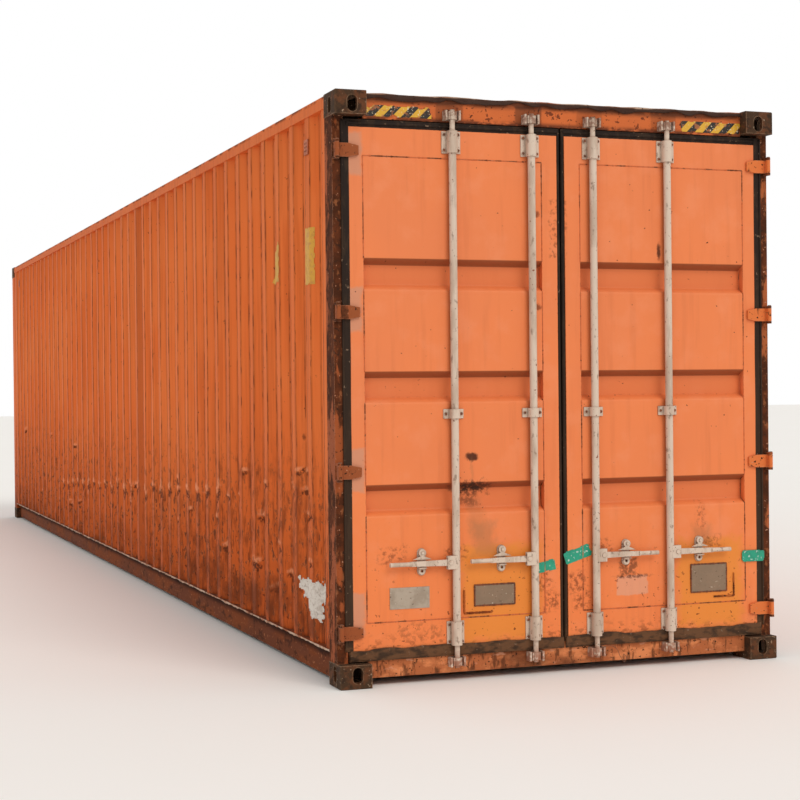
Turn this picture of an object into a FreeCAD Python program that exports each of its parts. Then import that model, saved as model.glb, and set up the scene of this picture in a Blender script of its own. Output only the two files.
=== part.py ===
"""Forty-foot high-cube dry freight container, written as one STEP file per piece.

Frame: X across, Y along the length with the doors at -Y, Z up from the underside of the corner castings.
Pieces of the right side (+X) are drawn once and mirrored for the left. Depths named *_DEPTH or measured "in"
run from an end plane towards the middle of the container.
"""
import FreeCAD, Part
import os

Vector = FreeCAD.Vector

# Overall size
LENGTH = 12192.0
WIDTH = 2438.0
HEIGHT = 2896.0

# Corner castings
CASTING_X = 162.0
CASTING_Y = 178.0
CASTING_Z = 118.0
CASTING_SIDE_WALL = 24.0
CASTING_FACE_WALL = 28.5
CASTING_INNER_WALL = 10.0
CASTING_EDGE_RADIUS = 8.0
FACE_SLOT_LENGTH = 124.5
FACE_SLOT_WIDTH = 63.5
FACE_SLOT_FROM_SIDE = 89.5
FACE_SLOT_FROM_END = 103.5
SIDE_SLOT_HEIGHT = 79.5
SIDE_SLOT_WIDTH = 51.0
SIDE_SLOT_IN = 89.0
SIDE_SLOT_FROM_FACE = 66.0

# Steel gauges
POST_WALL = 6.0
RAIL_WALL = 4.5
TUBE_WALL = 4.0
SHEET = 2.0
SKIN_SETBACK = 3.0

# Rails, headers and sills
BASE_CLEARANCE = 16.0
BOTTOM_RAIL_TOP = 172.0
BOTTOM_RAIL_FLANGE = 41.5
TOP_RAIL_SIZE = 60.0
TOP_RAIL_TOP_DROP = 8.0
FRONT_POST_WIDTH = 116.0
FRONT_SETBACK = 4.0
FRONT_RAIL_DEPTH = 60.0
FRONT_LIP_SHORTFALL = 10.0
END_PLATE_REACH = 330.0
END_PLATE_GAUGE = 4.0
END_PLATE_LIP = 22.0

# Side wall corrugation
SIDE_SKIN_SETBACK = 8.0
SIDE_OUTER_FLAT = 72.0
SIDE_INNER_FLAT = 70.0
SIDE_SLOPE = 68.0
SIDE_DEPTH = 36.0

# Front wall corrugation
FRONT_OUTER_FLAT = 110.0
FRONT_INNER_FLAT = 104.0
FRONT_SLOPE = 18.0
FRONT_DEPTH = 45.6

# Roof corrugation
ROOF_DROP = 10.0
ROOF_OUTER_FLAT = 91.0
ROOF_INNER_FLAT = 91.0
ROOF_SLOPE = 13.5
ROOF_DEPTH = 20.0

# Floor
FLOOR_TOP = 170.0
FLOOR_BOARD = 28.0
FLOOR_SIDE_GAP = 3.0
CROSS_MEMBER_HEIGHT = 122.0
CROSS_MEMBER_FLANGE = 45.0
CROSS_MEMBER_WEB = 4.0
CROSS_MEMBER_PITCH = 400.0

# Door end frame
POST_FRONT = 62.0
POST_X = 56.0
HEADER_DEPTH = 68.0
HEADER_UNDERSIDE_DROP = 128.0
SILL_BOTTOM = 40.0
SILL_TOP = 155.0
SILL_DEPTH = 88.0

# Door leaves
LEAF_FACE = 56.0
LEAF_THICKNESS = 50.0
LEAF_POST_GAP = 24.0
LEAF_CENTRE_GAP = 22.0
LEAF_BOTTOM = 171.0
LEAF_HEADER_GAP = 43.0
HINGE_STILE = 74.0
LOCK_STILE = 85.0
LEAF_RAIL = 138.0
BAND_LOWEST = 903.0
BAND_SPACING = 554.0
BAND_COUNT = 3
BAND_HEIGHT = 150.0
BAND_SLOPE = 25.0
BAND_DEPTH = 40.0
DRAIN_RADIUS = 6.0

# Door gasket
GASKET_CLEARANCE = 5.0
GASKET_SETBACK = 6.0
GASKET_DEPTH = 30.0
GASKET_APRON_DROP = 46.0
GASKET_APRON_FRONT = 50.0
GASKET_APRON_THICKNESS = 7.0
GASKET_SILL_STRIP = 8.0

# Hinges
PIN_FROM_SIDE = 16.0
PIN_DEPTH = 22.0
PIN_RADIUS = 6.0
PIN_HEAD_RADIUS = 9.0
PIN_HEAD = 4.0
EAR_HOLE_CLEARANCE = 0.05
BLADE_HOLE_CLEARANCE = 0.1
KNUCKLE_RADIUS = 11.0
KNUCKLE_HEIGHT = 67.0
BLADE_REACH = 118.0
BLADE_TIP_HEIGHT = 46.0
BLADE_THICKNESS = 13.0
BLADE_BACK = 8.0
EAR_THICKNESS = 12.0
EAR_GAP = 1.0
HINGES_UP_FROM_BOTTOM = (94.0, 876.0)
HINGES_DOWN_FROM_TOP = (901.0, 115.0)

# Lock rods
ROD_RADIUS = 19.0
ROD_DEPTH = 31.0
ROD_XS = (172.0, 600.0)
ROD_NAMES = ("inner", "outer")
NECK_RADIUS = 13.0
CAM_RADIUS = 17.0
CAM_REACH = 24.0
CAM_HEIGHT = 40.0
BOTTOM_CAM_Z = 76.0
TOP_CAM_FROM_HEADER = 10.0
CAM_END_LENGTH = 8.0

# Cam keepers
KEEPER_GAP = 6.0
KEEPER_CHEEK = 10.0
KEEPER_FRONT = 15.0
KEEPER_BACK_PLATE = 2.0
KEEPER_MARGIN = 4.0

# Rod brackets: width and height of each, from the bottom
BRACKET_SIZES = ((92.0, 118.0), (107.0, 47.0), (100.0, 110.0))
BRACKET_PLATE = 6.0
BRACKET_WALL = 6.0
BRACKET_CLEARANCE = 0.5
BRACKET_BOLT_RADIUS = 7.0
BRACKET_BOLT_HEAD = 4.0
BRACKET_EDGE = 14.0
BRACKET_BOTTOM_Z = 237.0
BRACKET_MIDDLE_Z = 1324.0
BRACKET_TOP_DROP = 58.0

# Handles
HANDLE_Z = 590.0
HANDLE_REACH = 353.0
HANDLE_START = 24.0
HANDLE_GRIP_START = 250.0
HANDLE_THICKNESS = 10.0
HANDLE_DEPTH = 23.0
HANDLE_HUB_HALF = 16.0
HANDLE_GRIP_HALF = 12.0
GRIP_RADIUS = 11.0
HUB_REACH = 52.0
HUB_HEIGHT = 66.0
HUB_PLATE = 6.0
HUB_SLOT_GAP = 0.5
HUB_BOLT_X = 36.0
HUB_BOLT_RADIUS = 8.0
HUB_BOLT_HEAD_RADIUS = 12.0
HUB_BOLT_HEAD = 4.0
HUB_BOLT_CLEARANCE = 0.3

# Handle catches and latches
CATCH_OFFSET = 178.0
CATCH_PLATE_RADIUS = 22.0
CATCH_PLATE = 6.0
CATCH_PIN_ABOVE = 52.0
CATCH_EAR_BELOW = 38.0
CATCH_PIN_RADIUS = 7.0
CATCH_PIN_FRONT = 26.0
CATCH_EAR_RADIUS = 18.0
CATCH_EAR_THICKNESS = 8.0
CATCH_HOLE_RADIUS = 7.0
LEDGE_HALF_WIDTH = 20.0
LEDGE_THICKNESS = 6.0
LEDGE_GAP = 6.0
LATCH_FRONT = 33.0
LATCH_THICKNESS = 8.0
LATCH_BOSS_RADIUS = 19.0
LATCH_HOLE_CLEARANCE = 0.3
LATCH_NECK_HALF = 11.0
LATCH_TONGUE_HALF = 50.0
LATCH_TONGUE_HEIGHT = 16.0
LATCH_HANDLE_GAP = 6.0

# Blank plates on the doors: centre X, centre Z, width, height
PLATE_GAUGE = 3.0
LEFT_PLATES = ((840.0, 422.0, 208.0, 105.0), (385.0, 416.0, 218.0, 103.0))
RIGHT_PLATES = ((840.0, 441.0, 212.0, 145.0),)

# Ventilators, on the second outer flat of each side wall from each end
VENT_WIDTH = 66.0
VENT_HEIGHT = 76.0
VENT_THICKNESS = 5.0
VENT_BELOW_RAIL = 110.0
VENT_SLOTS = 3
VENT_SLOT_HEIGHT = 8.0
VENT_SLOT_DEPTH = 2.5

# Places worked out from the sizes above
HALF_WIDTH = WIDTH / 2
DOOR_END = -LENGTH / 2
FRONT_END = LENGTH / 2
RAIL_START = DOOR_END + CASTING_Y
RAIL_END = FRONT_END - CASTING_Y
CASTING_INNER_X = HALF_WIDTH - CASTING_X
SKIN_X = HALF_WIDTH - SKIN_SETBACK
WALL_X = HALF_WIDTH - SIDE_SKIN_SETBACK
WALL_INNER_X = WALL_X - SIDE_DEPTH - SHEET
POST_INNER_X = SKIN_X - POST_X
POST_TOP = HEIGHT - CASTING_Z
TOP_RAIL_TOP = HEIGHT - TOP_RAIL_TOP_DROP
TOP_RAIL_BOTTOM = TOP_RAIL_TOP - TOP_RAIL_SIZE
TOP_RAIL_INNER_X = SKIN_X - TOP_RAIL_SIZE
ROOF_TOP = HEIGHT - ROOF_DROP
HEADER_BOTTOM = HEIGHT - HEADER_UNDERSIDE_DROP
WEB_X = WALL_INNER_X - 1.0
LEAF_TOP = HEADER_BOTTOM - LEAF_HEADER_GAP
LEAF_OUTER_X = POST_INNER_X - LEAF_POST_GAP
LEAF_INNER_X = LEAF_CENTRE_GAP
LEAF_BACK = LEAF_FACE + LEAF_THICKNESS
PIN_X = HALF_WIDTH - PIN_FROM_SIDE
TOP_CAM_Z = HEADER_BOTTOM + TOP_CAM_FROM_HEADER
HINGE_HEIGHTS = (
    *[LEAF_BOTTOM + up for up in HINGES_UP_FROM_BOTTOM],
    *[LEAF_TOP - down for down in HINGES_DOWN_FROM_TOP],
)


def depth(value):
    """Turn a depth behind the door-end plane into a Y coordinate."""
    return DOOR_END + value


def block(x0, x1, y0, y1, z0, z1):
    """Make a box between two corners."""
    return Part.makeBox(x1 - x0, y1 - y0, z1 - z0, Vector(x0, y0, z0))


def rod_along_z(radius, x, y, z0, z1):
    """Make an upright cylinder."""
    return Part.makeCylinder(radius, z1 - z0, Vector(x, y, z0), Vector(0, 0, 1))


def rod_along_y(radius, x, y0, y1, z):
    """Make a cylinder that runs from y0 to y1."""
    return Part.makeCylinder(radius, y1 - y0, Vector(x, y0, z), Vector(0, 1, 0))


def prism(points, sweep):
    """Extrude a closed outline of 3-D points along a vector."""
    outline = Part.makePolygon(points + [points[0]])
    return Part.Face(outline).extrude(sweep)


def fused(shapes):
    """Join shapes that touch or overlap into one clean solid."""
    first = shapes[0]
    if len(shapes) == 1:
        return first
    return first.fuse(shapes[1:]).removeSplitter()


def mirrored(shape):
    """Copy a shape from the right side to the left."""
    return shape.mirror(Vector(0, 0, 0), Vector(1, 0, 0))


def tube_along_x(x0, x1, y0, y1, z0, z1, wall):
    """Make a rectangular tube with open ends, running across the container."""
    bore = block(x0, x1, y0 + wall, y1 - wall, z0 + wall, z1 - wall)
    return block(x0, x1, y0, y1, z0, z1).cut(bore)


def tube_along_y(x0, x1, y0, y1, z0, z1, wall):
    """Make a rectangular tube with open ends, running along the container."""
    bore = block(x0 + wall, x1 - wall, y0, y1, z0 + wall, z1 - wall)
    return block(x0, x1, y0, y1, z0, z1).cut(bore)


def tube_along_z(x0, x1, y0, y1, z0, z1, wall):
    """Make an upright rectangular tube with open ends."""
    bore = block(x0 + wall, x1 - wall, y0 + wall, y1 - wall, z0, z1)
    return block(x0, x1, y0, y1, z0, z1).cut(bore)


def save(name, *shapes):
    """Write the solids of one node to its STEP file."""
    solids = []
    for shape in shapes:
        solids.extend(shape.Solids)
    if len(solids) == 1:
        solids[0].exportStep(f"parts/{name}.step")
    else:
        Part.makeCompound(solids).exportStep(f"parts/{name}.step")


def ribbed_path(span, first_flat, outer, slope, inner, drop):
    """Return (distance, depth) points of a pressed sheet, with the spare length left in its last flat."""
    rib = 2 * slope + inner
    count = int((span - first_flat) // (rib + outer))
    points = [(0.0, 0.0)]
    at = first_flat
    for _ in range(count):
        points.append((at, 0.0))
        points.append((at + slope, drop))
        points.append((at + slope + inner, drop))
        points.append((at + rib, 0.0))
        at += rib + outer
    points.append((span, 0.0))
    return points


def centred_first_flat(span, outer, slope, inner):
    """Return the first flat that leaves both end flats equal and no narrower than half an outer flat."""
    rib = 2 * slope + inner
    count = int(span // (rib + outer))
    return (span - count * rib - (count - 1) * outer) / 2


def slot_tool(length, width, thickness):
    """Make an obround cutter centred on the origin, long axis along Y and depth along Z."""
    radius = width / 2
    half = length / 2 - radius
    middle = block(-radius, radius, -half, half, -thickness / 2, thickness / 2)
    near = rod_along_z(radius, 0, -half, -thickness / 2, thickness / 2)
    far = rod_along_z(radius, 0, half, -thickness / 2, thickness / 2)
    return fused([middle, near, far])


def casting():
    """Make one hollow corner casting with its outer corner at the origin, reaching to +X, +Y and +Z."""
    body = block(0, CASTING_X, 0, CASTING_Y, 0, CASTING_Z)
    outer_edges = [edge for edge in body.Edges if touches_two_outer_faces(edge)]
    body = body.makeFillet(CASTING_EDGE_RADIUS, outer_edges)
    cavity = block(
        CASTING_SIDE_WALL, CASTING_X - CASTING_INNER_WALL,
        CASTING_SIDE_WALL, CASTING_Y - CASTING_INNER_WALL,
        CASTING_FACE_WALL, CASTING_Z - CASTING_INNER_WALL,
    )
    face_slot = slot_tool(FACE_SLOT_LENGTH, FACE_SLOT_WIDTH, 2 * CASTING_FACE_WALL + 2)
    face_slot.translate(Vector(FACE_SLOT_FROM_SIDE, FACE_SLOT_FROM_END, 0))
    side_slot = slot_tool(SIDE_SLOT_HEIGHT, SIDE_SLOT_WIDTH, 2 * CASTING_SIDE_WALL + 2)
    side_slot.rotate(Vector(0, 0, 0), Vector(1, 0, 0), 90)
    end_slot = side_slot.copy()
    side_slot.rotate(Vector(0, 0, 0), Vector(0, 0, 1), 90)
    side_slot.translate(Vector(0, SIDE_SLOT_IN, SIDE_SLOT_FROM_FACE))
    end_slot.translate(Vector(SIDE_SLOT_IN, 0, SIDE_SLOT_FROM_FACE))
    return body.cut([cavity, face_slot, side_slot, end_slot])


def touches_two_outer_faces(edge):
    """Tell whether a casting's edge lies on two of its three outward faces."""
    box = edge.BoundBox
    flat = 1e-6
    return [box.XMax < flat, box.YMax < flat, box.ZMax < flat].count(True) == 2


def four_castings(at_front):
    """Place the castings of one end: two below and two above."""
    placed = []
    for at_top in (False, True):
        piece = casting()
        if at_top:
            piece = piece.mirror(Vector(0, 0, HEIGHT / 2), Vector(0, 0, 1))
        piece.translate(Vector(-HALF_WIDTH, DOOR_END, 0))
        if at_front:
            piece = piece.mirror(Vector(0, 0, 0), Vector(0, 1, 0))
        placed.extend([piece, mirrored(piece)])
    return placed


def door_post():
    """Make the right post of the door end."""
    return tube_along_z(POST_INNER_X, SKIN_X, depth(POST_FRONT), RAIL_START, CASTING_Z, POST_TOP, POST_WALL)


def front_post():
    """Make the right post of the front end: an open pressing with two turned-in lips."""
    face = FRONT_END - FRONT_SETBACK
    inner = SKIN_X - FRONT_POST_WIDTH
    side = block(SKIN_X - POST_WALL, SKIN_X, RAIL_END, face, CASTING_Z, POST_TOP)
    front = block(inner, SKIN_X, face - POST_WALL, face, CASTING_Z, POST_TOP)
    lip_back = face - POST_WALL - FRONT_RAIL_DEPTH + FRONT_LIP_SHORTFALL
    inner_lip = block(inner, inner + POST_WALL, lip_back, face, CASTING_Z, POST_TOP)
    wall_lip = block(WALL_INNER_X, SKIN_X, RAIL_END, RAIL_END + POST_WALL, CASTING_Z, POST_TOP)
    return fused([side, front, inner_lip, wall_lip])


def bottom_rail():
    """Make the right bottom side rail: a web with an outward top flange and an inward bottom one."""
    web = block(WEB_X - RAIL_WALL, WEB_X, RAIL_START, RAIL_END, BASE_CLEARANCE, BOTTOM_RAIL_TOP)
    shelf = block(
        WEB_X - RAIL_WALL, SKIN_X, RAIL_START, RAIL_END, BOTTOM_RAIL_TOP - RAIL_WALL, BOTTOM_RAIL_TOP,
    )
    foot = block(
        WEB_X - BOTTOM_RAIL_FLANGE, WEB_X, RAIL_START, RAIL_END, BASE_CLEARANCE, BASE_CLEARANCE + RAIL_WALL,
    )
    return fused([web, shelf, foot])


def top_rail():
    """Make the right top side rail."""
    return tube_along_y(
        TOP_RAIL_INNER_X, SKIN_X, RAIL_START, RAIL_END, TOP_RAIL_BOTTOM, TOP_RAIL_TOP, TUBE_WALL,
    )


def side_wall():
    """Make the right corrugated side wall."""
    path = ribbed_path(
        RAIL_END - RAIL_START, SIDE_OUTER_FLAT, SIDE_OUTER_FLAT, SIDE_SLOPE, SIDE_INNER_FLAT, SIDE_DEPTH,
    )
    outside = [Vector(WALL_X - drop, RAIL_START + at, BOTTOM_RAIL_TOP) for at, drop in path]
    inside = [point - Vector(SHEET, 0, 0) for point in reversed(outside)]
    return prism(outside + inside, Vector(0, 0, TOP_RAIL_BOTTOM - BOTTOM_RAIL_TOP))


def front_wall():
    """Make the corrugated wall that closes the front end."""
    half = SKIN_X - FRONT_POST_WIDTH
    lead = centred_first_flat(2 * half, FRONT_OUTER_FLAT, FRONT_SLOPE, FRONT_INNER_FLAT)
    path = ribbed_path(2 * half, lead, FRONT_OUTER_FLAT, FRONT_SLOPE, FRONT_INNER_FLAT, FRONT_DEPTH)
    face = FRONT_END - FRONT_SETBACK - POST_WALL
    outside = [Vector(at - half, face - drop, BOTTOM_RAIL_TOP) for at, drop in path]
    inside = [point - Vector(0, SHEET, 0) for point in reversed(outside)]
    return prism(outside + inside, Vector(0, 0, POST_TOP - BOTTOM_RAIL_TOP))


def roof():
    """Make the corrugated roof sheet between the top rails."""
    span = RAIL_END - RAIL_START
    lead = centred_first_flat(span, ROOF_OUTER_FLAT, ROOF_SLOPE, ROOF_INNER_FLAT)
    path = ribbed_path(span, lead, ROOF_OUTER_FLAT, ROOF_SLOPE, ROOF_INNER_FLAT, ROOF_DEPTH)
    above = [Vector(-TOP_RAIL_INNER_X, RAIL_START + at, ROOF_TOP - drop) for at, drop in path]
    below = [point - Vector(0, 0, SHEET) for point in reversed(above)]
    return prism(above + below, Vector(2 * TOP_RAIL_INNER_X, 0, 0))


def door_header():
    """Make the box beam over the doors."""
    back = depth(POST_FRONT + HEADER_DEPTH)
    return tube_along_x(
        -CASTING_INNER_X, CASTING_INNER_X, depth(POST_FRONT), back, HEADER_BOTTOM, ROOF_TOP, TUBE_WALL,
    )


def door_sill():
    """Make the box beam under the doors."""
    back = depth(POST_FRONT + SILL_DEPTH)
    return tube_along_x(
        -CASTING_INNER_X, CASTING_INNER_X, depth(POST_FRONT), back, SILL_BOTTOM, SILL_TOP, RAIL_WALL,
    )


def front_header():
    """Make the box beam over the front wall."""
    face = FRONT_END - FRONT_SETBACK - POST_WALL
    return tube_along_x(
        -CASTING_INNER_X, CASTING_INNER_X, face - FRONT_RAIL_DEPTH, face, POST_TOP, ROOF_TOP, TUBE_WALL,
    )


def front_sill():
    """Make the bottom beam of the front end: a tube under the wall with a plate below it."""
    face = FRONT_END - FRONT_SETBACK - POST_WALL
    half = SKIN_X - FRONT_POST_WIDTH
    tube = tube_along_x(-half, half, face - FRONT_RAIL_DEPTH, face, CASTING_Z, BOTTOM_RAIL_TOP, TUBE_WALL)
    plate = block(
        -CASTING_INNER_X, CASTING_INNER_X, face - RAIL_WALL, face, BASE_CLEARANCE, CASTING_Z + TUBE_WALL,
    )
    return fused([tube, plate])


def roof_end_plate(at_front):
    """Make the guard plate over one header, with its edge turned down over the header's face."""
    lip_front = depth(POST_FRONT) - END_PLATE_GAUGE
    top = ROOF_TOP + END_PLATE_GAUGE
    half = CASTING_INNER_X - 1.0
    plate = block(-half, half, lip_front, depth(END_PLATE_REACH), ROOF_TOP, top)
    lip = block(-half, half, lip_front, depth(POST_FRONT), top - END_PLATE_LIP, top)
    shape = fused([plate, lip])
    if at_front:
        shape = shape.mirror(Vector(0, 0, 0), Vector(0, 1, 0))
        shape.translate(Vector(0, POST_FRONT - FRONT_SETBACK - POST_WALL, 0))
    return shape


def floor():
    """Make the plywood floor as one slab."""
    half = POST_INNER_X - FLOOR_SIDE_GAP
    start = depth(POST_FRONT + SILL_DEPTH)
    end = FRONT_END - FRONT_SETBACK - POST_WALL - FRONT_RAIL_DEPTH
    return block(-half, half, start, end, FLOOR_TOP - FLOOR_BOARD, FLOOR_TOP)


def cross_members():
    """Make the channels under the floor, evenly spaced between the castings."""
    half = WEB_X - RAIL_WALL
    top = FLOOR_TOP - FLOOR_BOARD
    bottom = top - CROSS_MEMBER_HEIGHT
    first = RAIL_START + CROSS_MEMBER_FLANGE
    last = RAIL_END - 2 * CROSS_MEMBER_FLANGE
    count = round((last - first) / CROSS_MEMBER_PITCH)
    web = CROSS_MEMBER_WEB
    members = []
    for index in range(count + 1):
        at = first + (last - first) * index / count
        upright = block(-half, half, at, at + web, bottom, top)
        upper = block(-half, half, at, at + CROSS_MEMBER_FLANGE, top - web, top)
        # The lower flange stops short of the bottom rails' own inward flanges.
        reach = WEB_X - BOTTOM_RAIL_FLANGE
        lower = block(-reach, reach, at, at + CROSS_MEMBER_FLANGE, bottom, bottom + web)
        notch = BASE_CLEARANCE + RAIL_WALL - bottom
        shape = fused([upright, upper, lower])
        if notch > 0:
            left = block(-half, -reach, at, at + CROSS_MEMBER_FLANGE, bottom, bottom + notch)
            shape = shape.cut([left, mirrored(left)])
        members.append(shape)
    return members


def ventilators():
    """Make the slotted vent covers, one near each end of each side wall."""
    rib = 2 * SIDE_SLOPE + SIDE_INNER_FLAT
    path = ribbed_path(
        RAIL_END - RAIL_START, SIDE_OUTER_FLAT, SIDE_OUTER_FLAT, SIDE_SLOPE, SIDE_INNER_FLAT, SIDE_DEPTH,
    )
    near = RAIL_START + 1.5 * SIDE_OUTER_FLAT + rib
    last_rib_start = path[-5][0]
    far = RAIL_START + last_rib_start - SIDE_OUTER_FLAT / 2
    top = TOP_RAIL_BOTTOM - VENT_BELOW_RAIL
    covers = []
    for centre in (near, far):
        cover = block(
            WALL_X, WALL_X + VENT_THICKNESS, centre - VENT_WIDTH / 2, centre + VENT_WIDTH / 2,
            top - VENT_HEIGHT, top,
        )
        for slot in range(VENT_SLOTS):
            z = top - VENT_HEIGHT * (slot + 1) / (VENT_SLOTS + 1)
            groove = block(
                WALL_X + VENT_THICKNESS - VENT_SLOT_DEPTH, WALL_X + VENT_THICKNESS,
                centre - VENT_WIDTH / 3, centre + VENT_WIDTH / 3,
                z - VENT_SLOT_HEIGHT / 2, z + VENT_SLOT_HEIGHT / 2,
            )
            cover = cover.cut(groove)
        covers.extend([cover, mirrored(cover)])
    return covers


def hinge_lugs():
    """Make the ears on the right post, one above and one below each hinge blade."""
    ears = []
    pin_y = depth(PIN_DEPTH)
    reach = KNUCKLE_HEIGHT / 2 + EAR_GAP
    for centre in HINGE_HEIGHTS:
        for low in (centre + reach, centre - reach - EAR_THICKNESS):
            nose = rod_along_z(KNUCKLE_RADIUS, PIN_X, pin_y, low, low + EAR_THICKNESS)
            arm = block(
                PIN_X - KNUCKLE_RADIUS, PIN_X + KNUCKLE_RADIUS, pin_y, depth(POST_FRONT),
                low, low + EAR_THICKNESS,
            )
            hole = rod_along_z(PIN_RADIUS + EAR_HOLE_CLEARANCE, PIN_X, pin_y, low, low + EAR_THICKNESS)
            ears.append(fused([nose, arm]).cut(hole))
    return ears


def hinge_pins():
    """Make the right door's hinge pins, each with a head that rests on its upper ear."""
    pins = []
    reach = KNUCKLE_HEIGHT / 2 + EAR_GAP + EAR_THICKNESS
    for centre in HINGE_HEIGHTS:
        shank = rod_along_z(PIN_RADIUS, PIN_X, depth(PIN_DEPTH), centre - reach, centre + reach)
        head = rod_along_z(PIN_HEAD_RADIUS, PIN_X, depth(PIN_DEPTH), centre + reach, centre + reach + PIN_HEAD)
        pins.append(fused([shank, head]))
    return pins


def hinge_blades():
    """Make the right door's blades: a knuckle, a web behind it and a strap that tapers across the stile."""
    blades = []
    pin_y = depth(PIN_DEPTH)
    back = depth(LEAF_FACE)
    front = back - BLADE_THICKNESS
    for centre in HINGE_HEIGHTS:
        low = centre - KNUCKLE_HEIGHT / 2
        high = centre + KNUCKLE_HEIGHT / 2
        knuckle = rod_along_z(KNUCKLE_RADIUS, PIN_X, pin_y, low, high)
        web = block(PIN_X - BLADE_BACK, PIN_X + BLADE_BACK, pin_y, back, low, high)
        tip_x = PIN_X - BLADE_REACH
        root_x = LEAF_OUTER_X
        half_tip = BLADE_TIP_HEIGHT / 2
        strap = prism(
            [
                Vector(PIN_X, front, low), Vector(PIN_X, front, high), Vector(root_x, front, high),
                Vector(tip_x, front, centre + half_tip), Vector(tip_x, front, centre - half_tip),
                Vector(root_x, front, low),
            ],
            Vector(0, BLADE_THICKNESS, 0),
        )
        hole = rod_along_z(PIN_RADIUS + BLADE_HOLE_CLEARANCE, PIN_X, pin_y, low, high)
        blades.append(fused([knuckle, web, strap]).cut(hole))
    return blades


def leaf_frame():
    """Make the right door's hollow frame of two stiles and two rails, with drain holes in its lower rail."""
    wall = TUBE_WALL
    face = depth(LEAF_FACE)
    back = depth(LEAF_BACK)
    outside = block(LEAF_INNER_X, LEAF_OUTER_X, face, back, LEAF_BOTTOM, LEAF_TOP)
    x0 = LEAF_INNER_X + LOCK_STILE
    x1 = LEAF_OUTER_X - HINGE_STILE
    z0 = LEAF_BOTTOM + LEAF_RAIL
    z1 = LEAF_TOP - LEAF_RAIL
    window = block(x0, x1, face, back, z0, z1)
    bore = block(
        LEAF_INNER_X + wall, LEAF_OUTER_X - wall, face + wall, back - wall, LEAF_BOTTOM + wall, LEAF_TOP - wall,
    )
    bore = bore.cut(block(x0 - wall, x1 + wall, face, back, z0 - wall, z1 + wall))
    middle = (face + back) / 2
    drains = []
    for x in (LEAF_INNER_X + LOCK_STILE / 2, LEAF_OUTER_X - HINGE_STILE / 2):
        drains.append(rod_along_z(DRAIN_RADIUS, x, middle, LEAF_BOTTOM, LEAF_BOTTOM + 2 * wall))
    return outside.cut([window, bore] + drains)


def leaf_panel():
    """Make the right door's sheet with its pressed-in bands."""
    x0 = LEAF_INNER_X + LOCK_STILE
    x1 = LEAF_OUTER_X - HINGE_STILE
    face = depth(LEAF_FACE)
    low = LEAF_BOTTOM + LEAF_RAIL
    high = LEAF_TOP - LEAF_RAIL
    front = [Vector(x0, face, low)]
    for band in range(BAND_COUNT):
        start = BAND_LOWEST + band * BAND_SPACING - BAND_HEIGHT / 2
        front.append(Vector(x0, face, start))
        front.append(Vector(x0, face + BAND_DEPTH, start + BAND_SLOPE))
        front.append(Vector(x0, face + BAND_DEPTH, start + BAND_HEIGHT - BAND_SLOPE))
        front.append(Vector(x0, face, start + BAND_HEIGHT))
    front.append(Vector(x0, face, high))
    back = [point + Vector(0, SHEET, 0) for point in reversed(front)]
    return prism(front + back, Vector(x1 - x0, 0, 0))


def leaf_gasket():
    """Make the right door's rubber gasket: a ring round the leaf with an apron over the sill."""
    x0 = GASKET_CLEARANCE
    x1 = POST_INNER_X - GASKET_CLEARANCE
    z0 = LEAF_BOTTOM - GASKET_SILL_STRIP
    z1 = HEADER_BOTTOM - GASKET_CLEARANCE
    front = depth(LEAF_FACE + GASKET_SETBACK)
    back = front + GASKET_DEPTH
    ring = block(x0, x1, front, back, z0, z1)
    ring = ring.cut(block(LEAF_INNER_X, LEAF_OUTER_X, front, back, LEAF_BOTTOM, LEAF_TOP))
    apron_front = depth(GASKET_APRON_FRONT)
    apron_back = apron_front + GASKET_APRON_THICKNESS
    apron = block(x0, x1, apron_front, apron_back, LEAF_BOTTOM - GASKET_APRON_DROP, LEAF_BOTTOM)
    link = block(x0, x1, apron_front, back, z0, LEAF_BOTTOM)
    leaf = block(LEAF_INNER_X, LEAF_OUTER_X, depth(LEAF_FACE), back, LEAF_BOTTOM, LEAF_TOP)
    return fused([ring, apron, link]).cut(leaf)


def rod_bracket(x, centre, width, height):
    """Make one bearing bracket: a bolted plate with a saddle round the rod."""
    face = depth(LEAF_FACE)
    axis = depth(ROD_DEPTH)
    low = centre - height / 2
    high = centre + height / 2
    bore_radius = ROD_RADIUS + BRACKET_CLEARANCE
    saddle_radius = bore_radius + BRACKET_WALL
    plate = block(x - width / 2, x + width / 2, face - BRACKET_PLATE, face, low, high)
    cheeks = block(x - saddle_radius, x + saddle_radius, axis, face, low, high)
    round_cap = rod_along_z(saddle_radius, x, axis, low, high)
    cap = round_cap.common(block(x - saddle_radius, x + saddle_radius, axis - saddle_radius, face, low, high))
    pieces = [plate, cheeks, cap]
    bolt_front = face - BRACKET_PLATE - BRACKET_BOLT_HEAD
    rows = (centre,)
    if height > 4 * BRACKET_EDGE:
        rows = (low + BRACKET_EDGE, high - BRACKET_EDGE)
    for side in (-1, 1):
        for row in rows:
            bolt_x = x + side * (width / 2 - BRACKET_BOLT_RADIUS - 3)
            pieces.append(rod_along_y(BRACKET_BOLT_RADIUS, bolt_x, bolt_front, face, row))
    bore = rod_along_z(bore_radius, x, axis, low, high)
    return fused(pieces).cut(bore)


def rod_brackets():
    """Make the right door's brackets: low, middle and high on each rod."""
    heights = (BRACKET_BOTTOM_Z, BRACKET_MIDDLE_Z, LEAF_TOP - BRACKET_TOP_DROP)
    brackets = []
    for x in ROD_XS:
        for centre, (width, height) in zip(heights, BRACKET_SIZES):
            brackets.append(rod_bracket(x, centre, width, height))
    return brackets


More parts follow.
